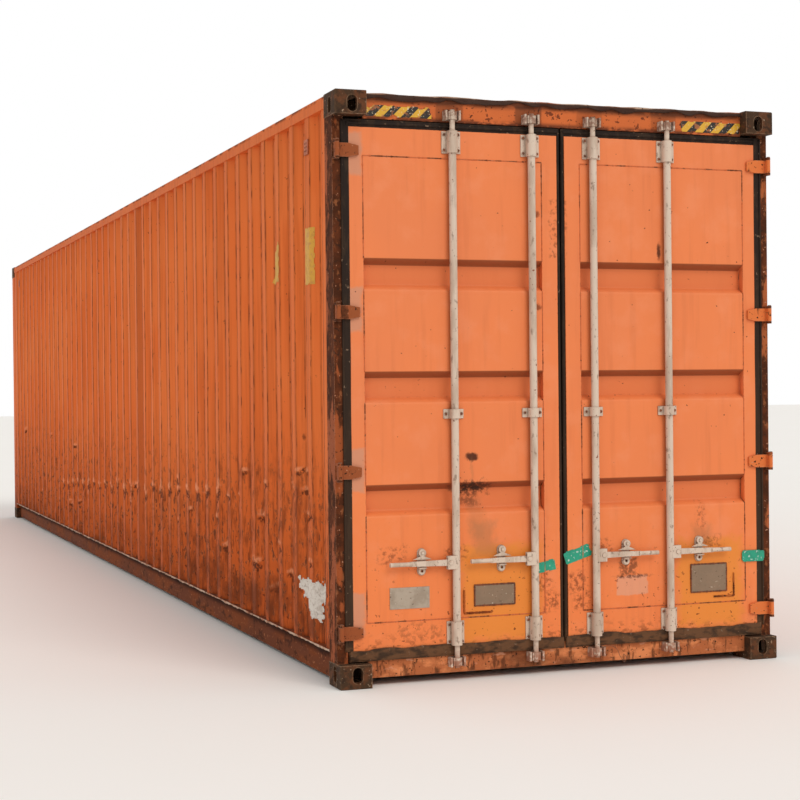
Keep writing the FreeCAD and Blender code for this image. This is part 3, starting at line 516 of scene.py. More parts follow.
@dataclass(frozen=True)
class DoorEnamel:
    """Alkyd enamel sprayed over primed steel: satin, a little faded, brushed over in places, chipped.

    Attributes:
        base: the paint over most of the leaf.
        faded: the paler, drier parts.
        warm: the more saturated lower parts.
        amber: the brushed touch-up, which never matched.
    """

    base: Coat = Coat("#EC834C", 0.52)
    faded: Coat = Coat("#E4804F", 0.58)
    warm: Coat = Coat("#F38545", 0.5)
    amber: Coat = Coat("#E68A32", 0.45)

    def patches(self) -> tuple[Spot, ...]:
        """Return the leaves' own marks: touch-ups, bare patches by the hinges, stains, scrapes and chips."""
        hinge_grey = Coat("#C0937B", 0.7)
        film = Coat("#8E6A48", 0.7)
        scraped = Coat("#D9A78C", 0.7)
        marks = [
            on_doors(-0.56, -0.13, 0.19, 0.66, self.amber, 0.85, 35, 60),
            on_doors(0.66, 1.03, 0.19, 0.64, self.amber, 0.85, 35, 60),
            on_doors(-0.5, -0.38, 0.62, 0.78, film, 0.38, 30, 50),
            on_doors(-0.52, -0.44, 0.7, 0.9, film, 0.2, 22, 30),
            on_doors(0.75, 0.85, 0.62, 0.72, film, 0.35, 30, 50),
            on_doors(-0.6, -0.4, 0.925, 0.985, SOOT_AND_SHADE, 0.95, 16, 60, 0.42),
            on_doors(-0.55, -0.46, 0.86, 0.97, SOOT_AND_SHADE, 0.6, 20, 60, 0.46),
            on_doors(-0.535, -0.47, 1.088, 1.128, DARK_RUST, 0.95, 8, 20),
            on_doors(-0.51, -0.495, 0.98, 1.1, film, 0.22, 14, 16),
            on_doors(0.3, 0.48, 0.375, 0.475, scraped, 0.55, 4, 22),
            on_doors(0.3, 0.49, 0.462, 0.478, DARK_RUST, 0.8, 4, 16, 0.46),
            on_doors(0.32, 0.42, 0.48, 0.56, SOOT_AND_SHADE, 0.65, 12, 55, 0.45),
            on_doors(-0.9, -0.67, 0.21, 0.29, SOOT_AND_SHADE, 0.35, 10, 40, 0.54),
            on_doors(0.55, 0.572, 2.11, 2.19, DARK_RUST, 0.9, 5, 12),
            on_doors(-0.17, -0.12, 2.31, 2.34, RED_RUST, 0.8, 6, 16),
            on_doors(-0.16, -0.11, 1.84, 1.87, RED_RUST, 0.8, 6, 18),
            on_doors(-0.06, 0.03, 2.1, 2.4, RED_RUST, 0.6, 10, 30, 0.56),
            on_doors(0.77, 0.82, 0.7, 0.84, RED_RUST, 0.6, 10, 60, 0.55),
        ]
        for height in (0.36, 1.06, 1.84, 2.6):
            marks.append(on_doors(-1.14, -1.07, height - 0.11, height + 0.1, hinge_grey, 0.6, 12, 30))
        knocked = ((-0.11, 0.47, 0.05), (-0.06, 0.36, 0.045), (0.07, 0.46, 0.045), (0.1, 0.36, 0.04))
        for x, height, reach in knocked:
            low, high = height - reach, height + reach
            marks.append(on_doors(x - reach, x + reach, low, high, RED_RUST, 0.75, 20, 60, 0.52))
        for x in (-0.94, -0.6, 0.2, 0.84):
            marks.append(on_doors(x - 0.05, x + 0.07, 0.6, 0.67, RED_RUST, 0.65, 16, 50, 0.55))
        return tuple(marks)

    def make(self, name: str) -> Material:
        """Build the material under a name."""
        paint = Surface(name, self.base)
        paint.mottle(self.faded, 0.6, 0.5, 0.16, 600, detail=3)
        paint.cover(paint.below(UP, 0.8, 0.6), self.warm, 0.6)
        paint.mottle(Coat("#C9683A", 0.5), 0.22, 0.6, 0.1, 60, (1, 1, 14.0), 3, 1.0)
        paint.mottle(Coat("#F0956A", 0.6), 0.3, 0.6, 0.12, 160, detail=4, shift=3.0)
        foot = paint.below(UP, 0.225, 0.05)
        rusty = paint.above(paint.noise(34, (1.4, 1, 1), 5, 4.0), 0.56, 0.06)
        paint.cover(paint.both(foot, rusty), Coat("#8F4A26", 0.85), 0.7)
        leaf_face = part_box("door_frame_left")[0].y
        # Painted shade: the flats of the recessed bands are darkened, as they get less sky light.
        band_recess_shade = paint.above(paint.along(LENGTHWAYS), leaf_face + 0.024, 0.012)
        paint.cover(paint.both(band_recess_shade, paint.below(LENGTHWAYS, -5.9, 0.02)), Coat("#DC7440", 0.55), 0.7)
        # Painted shade on every face that turns down, such as the bands' upper slopes.
        paint.cover(paint.facing((0, 0, -1), 0.35), Coat("#7E3D1E", 0.75), 0.8)
        # Painted shade, with dirt: the closed-in places round the bands, rods and brackets are darkened.
        paint.cover(paint.above(paint.crevices(45), 0.42, 0.3), Coat("#A4532A", 0.7), 0.45)
        paint.lay(self.patches(), only=paint.facing((0, -1, 0), -0.3))
        chips = paint.above(paint.noise(22, detail=4, shift=5.0), 0.56, 0.06)
        paint.cover(paint.both(paint.edges(5), chips), RED_RUST, 0.8)
        paint.freckle(26, 0.735, DARK_RUST, shift=6.0)
        paint.freckle(24, 0.68, RED_RUST, paint.below(UP, 0.5, 0.35), 7.0)
        worn = paint.marked("hollow_wear_and_shadow")
        paint.mottle(RED_RUST, 0.8, 0.54, 0.08, 18, detail=3, shift=8.0, where=worn)
        paint.lift(paint.noise(4, detail=2), 0.08)
        paint.lift(paint.noise(260, detail=1.5, shift=2.0), 4.0)
        return paint.done(Specular_IOR_Level=0.3)


@dataclass(frozen=True)
class PeelingEnamel:
    """Old enamel flaking off hot-rolled steel: islands of matt orange over brown scale.

    Attributes:
        paint: what is left of the enamel.
        scale: the rusted steel under it.
        left: how much paint is left, as a noise level; a higher level leaves less.
        flecks: small remnants of undercoat.
    """

    paint: Coat = Coat("#9A4A20", 0.65, 0.25)
    scale: Coat = Coat("#5E2F18", 0.88)
    left: float = 0.5
    flecks: Coat = Coat("#C48B6C", 0.7, 0.1)

    def make(self, name: str) -> Material:
        """Build the material under a name."""
        steel = Surface(name, self.scale)
        steel.mottle(Coat("#3D2011", 0.9), 0.75, 0.5, 0.1, 70, detail=4)
        steel.mottle(PALE_RUST, 0.6, 0.62, 0.06, 26, (1, 1, 1.6), 4, 2.0)
        steel.mottle(self.paint, 1.0, self.left, 0.03, 110, (1, 1, 3.0), 5, 3.0)
        steel.freckle(16, 0.7, self.flecks, shift=4.0)
        steel.freckle(18, 0.64, SOOT_AND_SHADE, shift=5.0)
        steel.mottle(self.flecks, 0.5, 0.45, 0.1, 24, detail=3, where=steel.edges(6))
        steel.lift(steel.noise(9, detail=4), 0.9)
        return steel.done(Specular_IOR_Level=0.15)


@dataclass(frozen=True)
class HeaderEnamel:
    """Door enamel over the header: orange face, rusted lower edge, bare brown behind each cam, painted shadow
    under the guard lip.

    Attributes:
        base: the paint.
        rod_xs: where the lock rods' cams meet it, in metres.
    """

    base: Coat = Coat("#CE6830", 0.55)
    rod_xs: tuple[float, ...] = (-0.6, -0.172, 0.172, 0.6)

    def make(self, name: str) -> Material:
        """Build the material under a name."""
        paint = Surface(name, self.base)
        paint.mottle(Coat("#C4622F", 0.55), 0.6, 0.52, 0.1, 180, (1.8, 1, 1), 4)
        bare = Coat("#6B3A20", 0.8)
        for x, strength in zip(self.rod_xs, (0.55, 0.7, 0.3, 0.35)):
            paint.lay((on_doors(x - 0.075, x + 0.07, 2.7, 2.862, bare, strength, 6, 10),))
        low_edge = paint.below(UP, 2.783, 0.014)
        paint.mottle(DARK_RUST, 0.9, 0.42, 0.1, 30, (2, 1, 1), 4, 1.0, where=low_edge)
        # Painted shadow under the guard plate's lip, with dark rust in it.
        lip_shadow_and_rust = paint.above(paint.along(UP), 2.85, 0.016)
        paint.mottle(SOOT_AND_SHADE, 0.85, 0.42, 0.12, 90, (2, 1, 1), 3, 2.0, where=lip_shadow_and_rust)
        paint.freckle(20, 0.66, DARK_RUST, shift=3.0)
        paint.freckle(34, 0.64, RED_RUST, shift=4.0)
        paint.lift(paint.noise(6, detail=2), 0.15)
        return paint.done(Specular_IOR_Level=0.25)


@dataclass(frozen=True)
class SillEnamel:
    """Enamel on the threshold, walked on and driven over: pinkish, rusted through and stained by dark runs.

    Attributes:
        base: the worn paint.
        rust: what shows through it.
    """

    base: Coat = Coat("#DC8856", 0.65)
    rust: Coat = Coat("#A65B35", 0.85, -0.3)

    def make(self, name: str) -> Material:
        """Build the material under a name."""
        paint = Surface(name, self.base)
        paint.mottle(self.rust, 0.8, 0.48, 0.07, 90, (2.0, 1, 1), 5)
        paint.mottle(Coat("#4E2A19", 0.85), 0.75, 0.57, 0.06, 30, (1, 1, 3.2), 4, 1.0)
        paint.mottle(Coat("#59321F", 0.85), 0.7, 0.6, 0.06, 230, (2.5, 1, 1), 4, 2.0)
        paint.mottle(Coat("#D69A7B", 0.7), 0.6, 0.63, 0.05, 46, (2, 1, 1), 4, 3.0)
        paint.freckle(16, 0.66, SOOT_AND_SHADE, shift=4.0)
        paint.mottle(PALE_RUST, 0.6, 0.48, 0.1, 26, detail=3, where=paint.edges(7))
        paint.lift(paint.noise(14, detail=4), 0.9)
        return paint.done(Specular_IOR_Level=0.15)


@dataclass(frozen=True)
class UnderframePaint:
    """Wax-based chassis coating over rolled sections: brown, dull and blotched with rust, with painted shade
    under the shelf and on faces that turn down.

    Attributes:
        base: the coating.
        rust: where it has gone.
    """

    base: Coat = Coat("#743A1C", 0.75)
    rust: Coat = Coat("#8C471F", 0.85)

    def make(self, name: str) -> Material:
        """Build the material under a name."""
        paint = Surface(name, self.base)
        paint.mottle(self.rust, 0.7, 0.5, 0.08, 160, (1, 3, 1), 5)
        paint.mottle(Coat("#4A2716", 0.85), 0.8, 0.6, 0.05, 60, (1, 2, 1), 4, 2.0)
        paint.freckle(18, 0.66, Coat("#C07A4E", 0.8), shift=3.0)
        paint.mottle(PALE_RUST, 0.7, 0.42, 0.1, 20, detail=3, where=paint.edges(6))
        # Painted shadow in the band under the rail's shelf, and painted shade on every face that turns down.
        shade = paint.above(paint.along(UP), 0.118, 0.02)
        paint.cover(paint.both(shade, paint.below(UP, 0.1675, 0.001)), Coat("#2C160B", 0.9), 0.9)
        paint.cover(paint.facing((0, 0, -1), 0.6), Coat("#34190C", 0.9), 0.9)
        paint.lift(paint.noise(12, detail=4), 0.7)
        return paint.done(Specular_IOR_Level=0.15)


@dataclass(frozen=True)
class CastSteel:
    """Sand-cast corner fittings: coarse skin, knocked bare at the edges, dark scale with pale scuffs.

    Attributes:
        base: the scale on the casting.
        paint: traces of paint in the hollows.
    """

    base: Coat = Coat("#45301F", 0.78)
    paint: Coat = Coat("#6E3F23", 0.7)

    def make(self, name: str) -> Material:
        """Build the material under a name."""
        cast = Surface(name, self.base)
        cast.mottle(self.paint, 0.65, 0.53, 0.08, 70, detail=4)
        cast.mottle(Coat("#33241A", 0.85), 0.8, 0.58, 0.06, 36, detail=4, shift=2.0)
        cast.freckle(15, 0.69, Coat("#A58D75", 0.6), shift=3.0)
        cast.freckle(34, 0.7, Coat("#93755B", 0.6), shift=4.0)
        cast.mottle(Coat("#9B7A5E", 0.5), 0.7, 0.42, 0.1, 28, detail=3, where=cast.edges(9))
        cast.lift(cast.noise(6, detail=3), 0.7)
        cast.lift(cast.noise(45, detail=2, shift=1.0), 2.0)
        return cast.done(Specular_IOR_Level=0.2)


@dataclass(frozen=True)
class GalvanisedGear:
    """Hot-dip galvanised forgings and tube under a cream-grey bloom: dull, speckled, rusting at both ends.

    Attributes:
        base: the weathered zinc.
        worn: where hands and weather have rubbed it.
        low: below this height it rusts.
        high: above this height it rusts.
    """

    base: Coat = Coat("#D6C3B1", 0.6)
    worn: Coat = Coat("#B49D89", 0.55)
    low: float = 0.13
    high: float = 2.772

    def make(self, name: str) -> Material:
        """Build the material under a name."""
        zinc = Surface(name, self.base)
        zinc.mottle(self.worn, 0.65, 0.54, 0.08, 60, (1, 1, 5.0), 4)
        zinc.mottle(Coat("#8C7463", 0.6), 0.75, 0.63, 0.05, 24, (1, 1, 2.0), 4, 1.0)
        zinc.freckle(15, 0.7, Coat("#6B5242", 0.8), shift=2.0)
        zinc.freckle(22, 0.71, RED_RUST, shift=3.0)
        bare = zinc.above(zinc.noise(18, detail=3, shift=5.0), 0.44, 0.1)
        zinc.cover(zinc.both(zinc.edges(3), bare), Coat("#8A5D40", 0.7), 0.65)
        # Painted shade, with rust: the closed-in places are darkened brown.
        zinc.cover(zinc.crevices(22), Coat("#6E4631", 0.8), 0.5)
        blotch = zinc.above(zinc.noise(24, detail=4, shift=4.0), 0.44, 0.1)
        zinc.cover(zinc.both(zinc.below(UP, self.low, 0.05), blotch), Coat("#9B5A3C", 0.85, 0.4), 0.85)
        top = zinc.above(zinc.along(UP), self.high, 0.03)
        stained = zinc.above(zinc.noise(26, detail=4, shift=6.0), 0.48, 0.1)
        zinc.cover(zinc.both(top, stained), Coat("#7C4A33", 0.85), 0.8)
        zinc.lift(zinc.noise(7, detail=3), 0.35)
        return zinc.done(Specular_IOR_Level=0.35)


@dataclass(frozen=True)
class RustedSteel:
    """Turned or torch-cut steel left bare: deep brown, pitted, with a worn sheen on its edges."""

    base: Coat = Coat("#5E3826", 0.75)
    fresh: Coat = Coat("#8F4E2C", 0.85)

    def make(self, name: str) -> Material:
        """Build the material under a name."""
        steel = Surface(name, self.base)
        steel.mottle(self.fresh, 0.7, 0.5, 0.1, 24, detail=4)
        steel.freckle(12, 0.63, SOOT_AND_SHADE, shift=2.0)
        steel.cover(steel.edges(3), Coat("#A98568", 0.45), 0.5)
        steel.lift(steel.noise(7, detail=3), 0.5)
        return steel.done()


@dataclass(frozen=True)
class RubberSeal:
    """Extruded EPDM door seal: near-black at the top, gone brown and dusty lower down, matt."""

    base: Coat = Coat("#22150D", 0.78)
    dusty: Coat = Coat("#513823", 0.85)

    def make(self, name: str) -> Material:
        """Build the material under a name."""
        rubber = Surface(name, self.base)
        rubber.cover(rubber.below(UP, 1.3, 1.25), self.dusty, 0.45)
        rubber.mottle(Coat("#43301F", 0.8), 0.5, 0.56, 0.08, 40, (1, 1, 4.0), 4)
        foot = rubber.below(UP, 0.2, 0.05)
        rubber.mottle(Coat("#7A5336", 0.9), 0.6, 0.48, 0.1, 30, (2, 1, 1), 4, where=foot)
        rubber.freckle(20, 0.69, Coat("#7A624E", 0.8), shift=1.0)
        rubber.lift(rubber.noise(8, (1, 1, 2.0), 3), 0.4)
        return rubber.done(IOR=1.5, Specular_IOR_Level=0.3)


@dataclass(frozen=True)
class PlateAluminium:
    """Rolled aluminium and tin data plates with nothing left on them: brushed, dulled, brown if framed."""

    base: Coat = Coat("#B3A594", 0.45)
    stained: Coat = Coat("#927A64", 0.6)

    def make(self, name: str) -> Material:
        """Build the material under a name."""
        plate = Surface(name, self.base, metallic=0.35)
        framed = plate.above(plate.along(ACROSS), -0.6, 0.01)
        plate.cover(framed, self.stained)
        plate.mottle(Coat("#84705C", 0.65), 0.4, 0.5, 0.12, 60, detail=4)
        plate.freckle(14, 0.7, Coat("#C3B5A4", 0.5), shift=2.0)
        plate.freckle(16, 0.69, Coat("#6B5442", 0.7), shift=3.0)
        rim = plate.both(plate.edges(7), plate.above(plate.noise(18, detail=3), 0.4, 0.1))
        plate.cover(plate.both(rim, framed), DARK_RUST, 0.9)
        plate.lift(plate.noise(2.5, (12, 1, 1), 2), 0.05)
        plate.lift(plate.noise(70, detail=1, shift=5.0), 1.2)
        return plate.done(Specular_IOR_Level=0.4)


@dataclass(frozen=True)
class FloorPlywood:
    """Marine plywood planks, oiled and scuffed: warm brown grain along the box, dark joints, screw rows.

    Attributes:
        plank_mm: width of one plank across the box.
        sheet_mm: length of one sheet along the box.
    """

    base: Coat = Coat("#8B6242", 0.6)
    dark: Coat = Coat("#5F3F2A", 0.65)
    plank_mm: float = 1157.0
    sheet_mm: float = 2394.0

    def make(self, name: str) -> Material:
        """Build the material under a name."""
        wood = Surface(name, self.base)
        wood.mottle(self.dark, 0.55, 0.5, 0.12, 9, (1, 60, 1), 4)
        wood.mottle(Coat("#6E5743", 0.75), 0.6, 0.55, 0.12, 320, (1, 2, 1), 4, 2.0)
        wood.freckle(40, 0.66, Coat("#3E2C20", 0.6), shift=3.0)
        for axis, length in ((0, self.plank_mm), (1, self.sheet_mm)):
            fold = wood.math("PINGPONG", wood.along(axis), length * MM / 2)
            wood.cover(wood.ramp(fold, 4 * MM, 2 * MM, "LINEAR"), Coat("#241912", 0.9, -1.5))
        x_row = wood.math("PINGPONG", wood.along(ACROSS), 0.0825)
        y_row = wood.math("PINGPONG", wood.along(LENGTHWAYS), 0.2)
        squares = [wood.both(row, row) for row in (x_row, y_row)]
        apart = wood.math("ADD", squares[0], squares[1])
        wood.cover(wood.ramp(apart, (7 * MM) ** 2, (5 * MM) ** 2, "LINEAR"), Coat("#4A4038", 0.45, -0.5))
        wood.lift(wood.noise(6, (1, 40, 1), 3), 0.3)
        return wood.done()


@dataclass(frozen=True)
class MouldedPlastic:
    """Injection-moulded ABS ventilator covers: dull orange, chalky, streaked below the louvres, with painted
    shade in them.
    """

    base: Coat = Coat("#C2653A", 0.5)

    def make(self, name: str) -> Material:
        """Build the material under a name."""
        plastic = Surface(name, self.base)
        plastic.mottle(Coat("#9C4E2B", 0.6), 0.6, 0.5, 0.1, 30, (1, 1, 3), 3)
        # Painted shade: the louvres and other closed-in places are darkened near-black.
        plastic.cover(plastic.crevices(12), SOOT_AND_SHADE, 0.7)
        plastic.lift(plastic.noise(3, detail=1), 0.05)
        return plastic.done(IOR=1.5)


@dataclass(frozen=True)
class Film:
    """Thin stuck-on film, tape or paper: an even colour, scuffed pale and dirtied at the edges.

    Attributes:
        base: its colour.
        scuff: what shows where it is rubbed.
        dirt: what is smeared on it.
        scuffed: the noise level above which it is rubbed.
    """

    base: Coat
    scuff: Coat
    dirt: Coat
    scuffed: float = 0.64

    def make(self, name: str) -> Material:
        """Build the material under a name."""
        film = Surface(name, self.base)
        film.mottle(self.dirt, 0.4, 0.56, 0.1, 30, detail=4)
        film.mottle(self.scuff, 0.85, self.scuffed, 0.05, 18, detail=4, shift=2.0)
        film.freckle(10, 0.68, self.dirt, shift=3.0)
        film.lift(film.noise(12, detail=2), 0.3)
        return film.done(IOR=1.48)


@dataclass(frozen=True)
class StripedTape:
    """Printed vinyl edge-marking tape in slanted black and yellow bars: faded, scratched, lifting.

    Attributes:
        yellow: the lighter bar.
        black: the darker bar.
        pitch_mm: distance between two like bars, along the tape.
    """

    yellow: Coat = Coat("#D9A62E", 0.45)
    black: Coat = Coat("#241D18", 0.5)
    pitch_mm: float = 94.0

    def make(self, name: str) -> Material:
        """Build the material under a name."""
        tape = Surface(name, self.yellow)
        lean = tape.math("MULTIPLY_ADD", tape.along(UP), -1.0, tape.along(ACROSS))
        phase = tape.math("PINGPONG", lean, self.pitch_mm * MM / 2)
        tape.cover(tape.above(phase, self.pitch_mm * MM / 4, 0.0015), self.black)
        tape.mottle(Coat("#B06A3C", 0.7), 0.75, 0.58, 0.05, 26, (1.5, 1, 1), 4)
        tape.freckle(11, 0.65, Coat("#E0CDB0", 0.6), shift=2.0)
        tape.lift(tape.noise(14, detail=2), 0.3)
        return tape.done(IOR=1.48)


@dataclass(frozen=True)
class WornLipPaint:
    """Paint on the bent guard edges: chalked almost to primer on the crest, brown and black in the folds, and
    near-black under a given height, painted shade with rust.
    """

    base: Coat = Coat("#B98A6C", 0.7)
    primer: Coat = Coat("#D8C0AB", 0.75)
    shade_and_rust_below: float = 0.0

    def make(self, name: str) -> Material:
        """Build the material under a name."""
        paint = Surface(name, self.base)
        paint.mottle(self.primer, 0.75, 0.46, 0.1, 90, (2.2, 1, 1), 4)
        paint.mottle(Coat("#A4532C", 0.8), 0.8, 0.57, 0.05, 120, (2.5, 1, 0.6), 5, 2.0)
        paint.mottle(Coat("#3E281D", 0.85), 0.85, 0.62, 0.05, 44, (2.0, 1, 0.8), 4, 3.0)
        paint.freckle(14, 0.65, SOOT_AND_SHADE, shift=4.0)
        # Painted shade with rust: below the given height the lip turns near-black.
        if self.shade_and_rust_below:
            strayed = paint.math("MULTIPLY", paint.noise(130, (2, 1, 1), 4, 6.0), 0.03)
            edge = paint.math("ADD", paint.along(UP), strayed)
            upper = paint.above(edge, self.shade_and_rust_below + 0.015, 0.002)
            under = paint.math("SUBTRACT", 1.0, upper)
            paint.cover(under, Coat("#36211A", 0.85), 0.95)
        paint.lift(paint.noise(12, detail=3), 0.6)
        return paint.done(Specular_IOR_Level=0.2)


def ripple(one: np.ndarray, other: np.ndarray | float, length: float, seed: int, waves: int = 6) -> np.ndarray:
    """Make smooth random unevenness over one or two directions.

    Args:
        one: first coordinate of each point, in metres.
        other: second coordinate of each point in metres, or 0.0 for unevenness along the first alone.
        length: its shortest wavelength in metres.
        seed: what the random draws start from.
        waves: how many waves are summed.

    Returns:
        Values between about -1 and 1.
    """
    draw = np.random.default_rng(seed)
    total = np.zeros(np.broadcast(one, other).shape)
    for _ in range(waves):
        angle = draw.uniform(0, math.tau)
        turns = math.tau / (length * draw.uniform(1.0, 2.8))
        phase = draw.uniform(0, math.tau)
        total = total + np.sin((one * math.cos(angle) + other * math.sin(angle)) * turns + phase)
    return total / math.sqrt(waves) / 1.4


def to_points(x: np.ndarray | float, y: np.ndarray | float, z: np.ndarray | float) -> np.ndarray:
    """Join coordinates to points, the last axis being X, Y, Z."""
    return np.stack(np.broadcast_arrays(x, y, z), axis=-1)


def link_mesh(name: str, vertices: list, faces: list, smooth: bool = True) -> Piece:
    """Make a piece from vertices and faces, and put it in the scene."""
    mesh = bpy.data.meshes.new(name)
    mesh.from_pydata(vertices, [], faces)
    mesh.polygons.foreach_set("use_smooth", [smooth] * len(mesh.polygons))
    mesh.update()
    piece = bpy.data.objects.new(name, mesh)
    bpy.context.scene.collection.objects.link(piece)
    return piece


def grid_piece(
    name: str,
    points: np.ndarray,
    keep: np.ndarray | None = None,
    marks: dict[str, np.ndarray] | None = None,
    turned: bool = False,
) -> Piece:
    """Make a sheet one layer thick from a grid of points.

    Args:
        name: the piece's name.
        points: rows by columns by three, in metres.
        keep: for each cell, whether it stays.
        marks: values that the mesh carries, rows by columns.
        turned: whether its front is the other face.

    Returns:
        The piece.
    """
    rows, columns = points.shape[:2]
    index = np.arange(rows * columns).reshape(rows, columns)
    cells = np.stack([index[:-1, :-1], index[:-1, 1:], index[1:, 1:], index[1:, :-1]], axis=-1)
    if turned:
        cells = cells[..., ::-1]
    faces = cells.reshape(-1, 4) if keep is None else cells[keep]
    used = np.unique(faces)
    order = np.zeros(rows * columns, int)
    order[used] = np.arange(len(used))
    piece = link_mesh(name, points.reshape(-1, 3)[used].tolist(), order[faces].tolist())
    for mark, values in (marks or {}).items():
        layer = piece.data.attributes.new(mark, "FLOAT", "POINT")
        layer.data.foreach_set("value", values.reshape(-1)[used].astype(np.float32))
    return piece


def sheet_piece(name: str, points: np.ndarray, gauge_mm: float, **shape: object) -> Piece:
    """Make a sheet with its gauge behind its front face and its flats shaded flat.

    Args:
        name: the piece's name.
        points: its front face, rows by columns by three, in metres.
        gauge_mm: its thickness.
        shape: what else grid_piece is told.

    Returns:
        The piece.
    """
    piece = grid_piece(name, points, **shape)
    gauge = piece.modifiers.new("gauge", "SOLIDIFY")
    gauge.thickness = gauge_mm * MM
    gauge.offset = -1.0
    piece.modifiers.new("shade", "WEIGHTED_NORMAL").keep_sharp = False
    return piece


def tube_piece(name: str, path: np.ndarray, radii: np.ndarray | float, sides: int = 8) -> Piece:
    """Make a closed tube along a path.

    Args:
        name: the piece's name.
        path: its points, one row each, in metres.
        radii: its radius, at each point or all along, in metres.
        sides: how many faces it has round it.

    Returns:
        The piece, with both ends closed.
    """
    ahead = np.gradient(path, axis=0)
    ahead /= np.linalg.norm(ahead, axis=1, keepdims=True)
    upright = np.array([0.0, 1.0, 0.0]) if abs(ahead[0][1]) < 0.8 else np.array([0.0, 0.0, 1.0])
    across = np.cross(ahead, upright)
    across /= np.linalg.norm(across, axis=1, keepdims=True)
    over = np.cross(across, ahead)
    turn = np.linspace(0, math.tau, sides, endpoint=False)
    ring = across[:, None, :] * np.cos(turn)[None, :, None] + over[:, None, :] * np.sin(turn)[None, :, None]
    points = path[:, None, :] + ring * np.broadcast_to(radii, len(path))[:, None, None]
    faces = []
    for row in range(len(path) - 1):
        for side in range(sides):
            start, step = row * sides, (side + 1) % sides
            faces.append((start + side, start + step, start + sides + step, start + sides + side))
    faces.append(tuple(range(sides))[::-1])
    faces.append(tuple((len(path) - 1) * sides + side for side in range(sides)))
    return link_mesh(name, points.reshape(-1, 3).tolist(), faces)


def share_of(distance: np.ndarray, reach: float) -> np.ndarray:
    """Return how much of a reach a distance fills, from 0 to 1."""
    return np.clip(distance / reach, 0, 1)


def fit(piece: Piece, material: Material, body: str, slot: str, *stands_for: str) -> None:
    """Dress a piece, fix it to its body and report it.

    Args:
        piece: the piece, already in place.
        material: its finish.
        body: the body it moves with.
        slot: not used.
        stands_for: CAD nodes that it replaces.
    """
    piece.data.materials.append(material)
    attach(piece, body)
    if stands_for:
        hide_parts(*stands_for)
    log.info("%s on %s", piece.name, body)


@dataclass(frozen=True)
class Section:
    """The pressed section of a corrugated sheet, in mm.

    Attributes:
        span: its whole length.
        lead: the first flat; None leaves the two end flats equal.
        outer: an outer flat.
        slope: the run of one slope.
        inner: an inner flat.
        drop: how deep the ribs are.
        bend: half the width of a rounded fold.
    """

    span: float
    lead: float | None
    outer: float
    slope: float
    inner: float
    drop: float
    bend: float = 4.0

    def corners(self) -> list[tuple[float, float, float]]:
        """Return each fold's distance, depth and how strongly its painted dark line shows."""
        rib = 2 * self.slope + self.inner
        if self.lead is None:
            count = int(self.span // (rib + self.outer))
            start = (self.span - count * rib - (count - 1) * self.outer) / 2
        else:
            start = self.lead
            count = int((self.span - start) // (rib + self.outer))
        found = []
        for number in range(count):
            at = start + number * (rib + self.outer)
            found.append((at, 0.0, 1.0))
            found.append((at + self.slope, self.drop, 0.3))
            found.append((at + self.slope + self.inner, self.drop, 0.55))
            found.append((at + rib, 0.0, 0.6))
        return found

    def depth_at(self, distance: np.ndarray) -> np.ndarray:
        """Return the depth below the outer face at distances along the sheet, both in metres."""
        corners = self.corners()
        runs = [0.0] + [c[0] * MM for c in corners] + [self.span * MM]
        depths = [0.0] + [c[1] * MM for c in corners] + [0.0]
        return np.interp(distance, runs, depths)

    def stations(self, spread: float) -> tuple[np.ndarray, np.ndarray, np.ndarray]:
        """Work out the columns of the sheet's grid.

        Args:
            spread: how far from a fold its dark line reaches, in mm; the line is painted shade, with rust
                chips along it.

        Returns:
            Distances and depths in metres, and the strength of the fold at each.
        """
        rows = [(0.0, 0.0, 0.0)]
        for at, _, strength in self.corners():
            for offset, share in ((-spread, 0.0), (-self.bend, 1.0), (self.bend, 1.0), (spread, 0.0)):
                rows.append((at + offset, 0.0, strength * share))
        rows.append((self.span, 0.0, 0.0))
        table = np.array(rows)
        distance = table[:, 0] * MM
        return distance, self.depth_at(distance), table[:, 2]


@dataclass(frozen=True)
class Knock:
    """A crumple in a sheet: a lip pushed out with a hollow below it.

    Attributes:
        at: distance along the sheet in metres.
        height: height in metres.
        wide: half its width in metres.
        tall: half its height in metres.
        deep_mm: how deep the hollow is.
    """

    at: float
    height: float
    wide: float
    tall: float
    deep_mm: float

    def hollow(self, distance: np.ndarray, height: np.ndarray) -> tuple[np.ndarray, np.ndarray, np.ndarray]:
        """Return how far the sheet goes in, how dark its hollow is painted, as rust and painted shadow, and
        how far its lip stands out, at each point.
        """
        across = np.exp(-(np.abs((distance - self.at) / self.wide) ** 2.6))
        uneven = 0.8 * ripple(distance, height * 0.2, 0.045, int(self.at * 1000) + 3, 5)
        rise = (height - self.height) / self.tall + uneven
        lip = np.exp(-((rise - 0.7) ** 2) / 0.35) * across
        pit = np.exp(-((rise + 0.7) ** 2) / 0.5) * across
        return (pit - 0.75 * lip) * self.deep_mm * MM, pit, lip


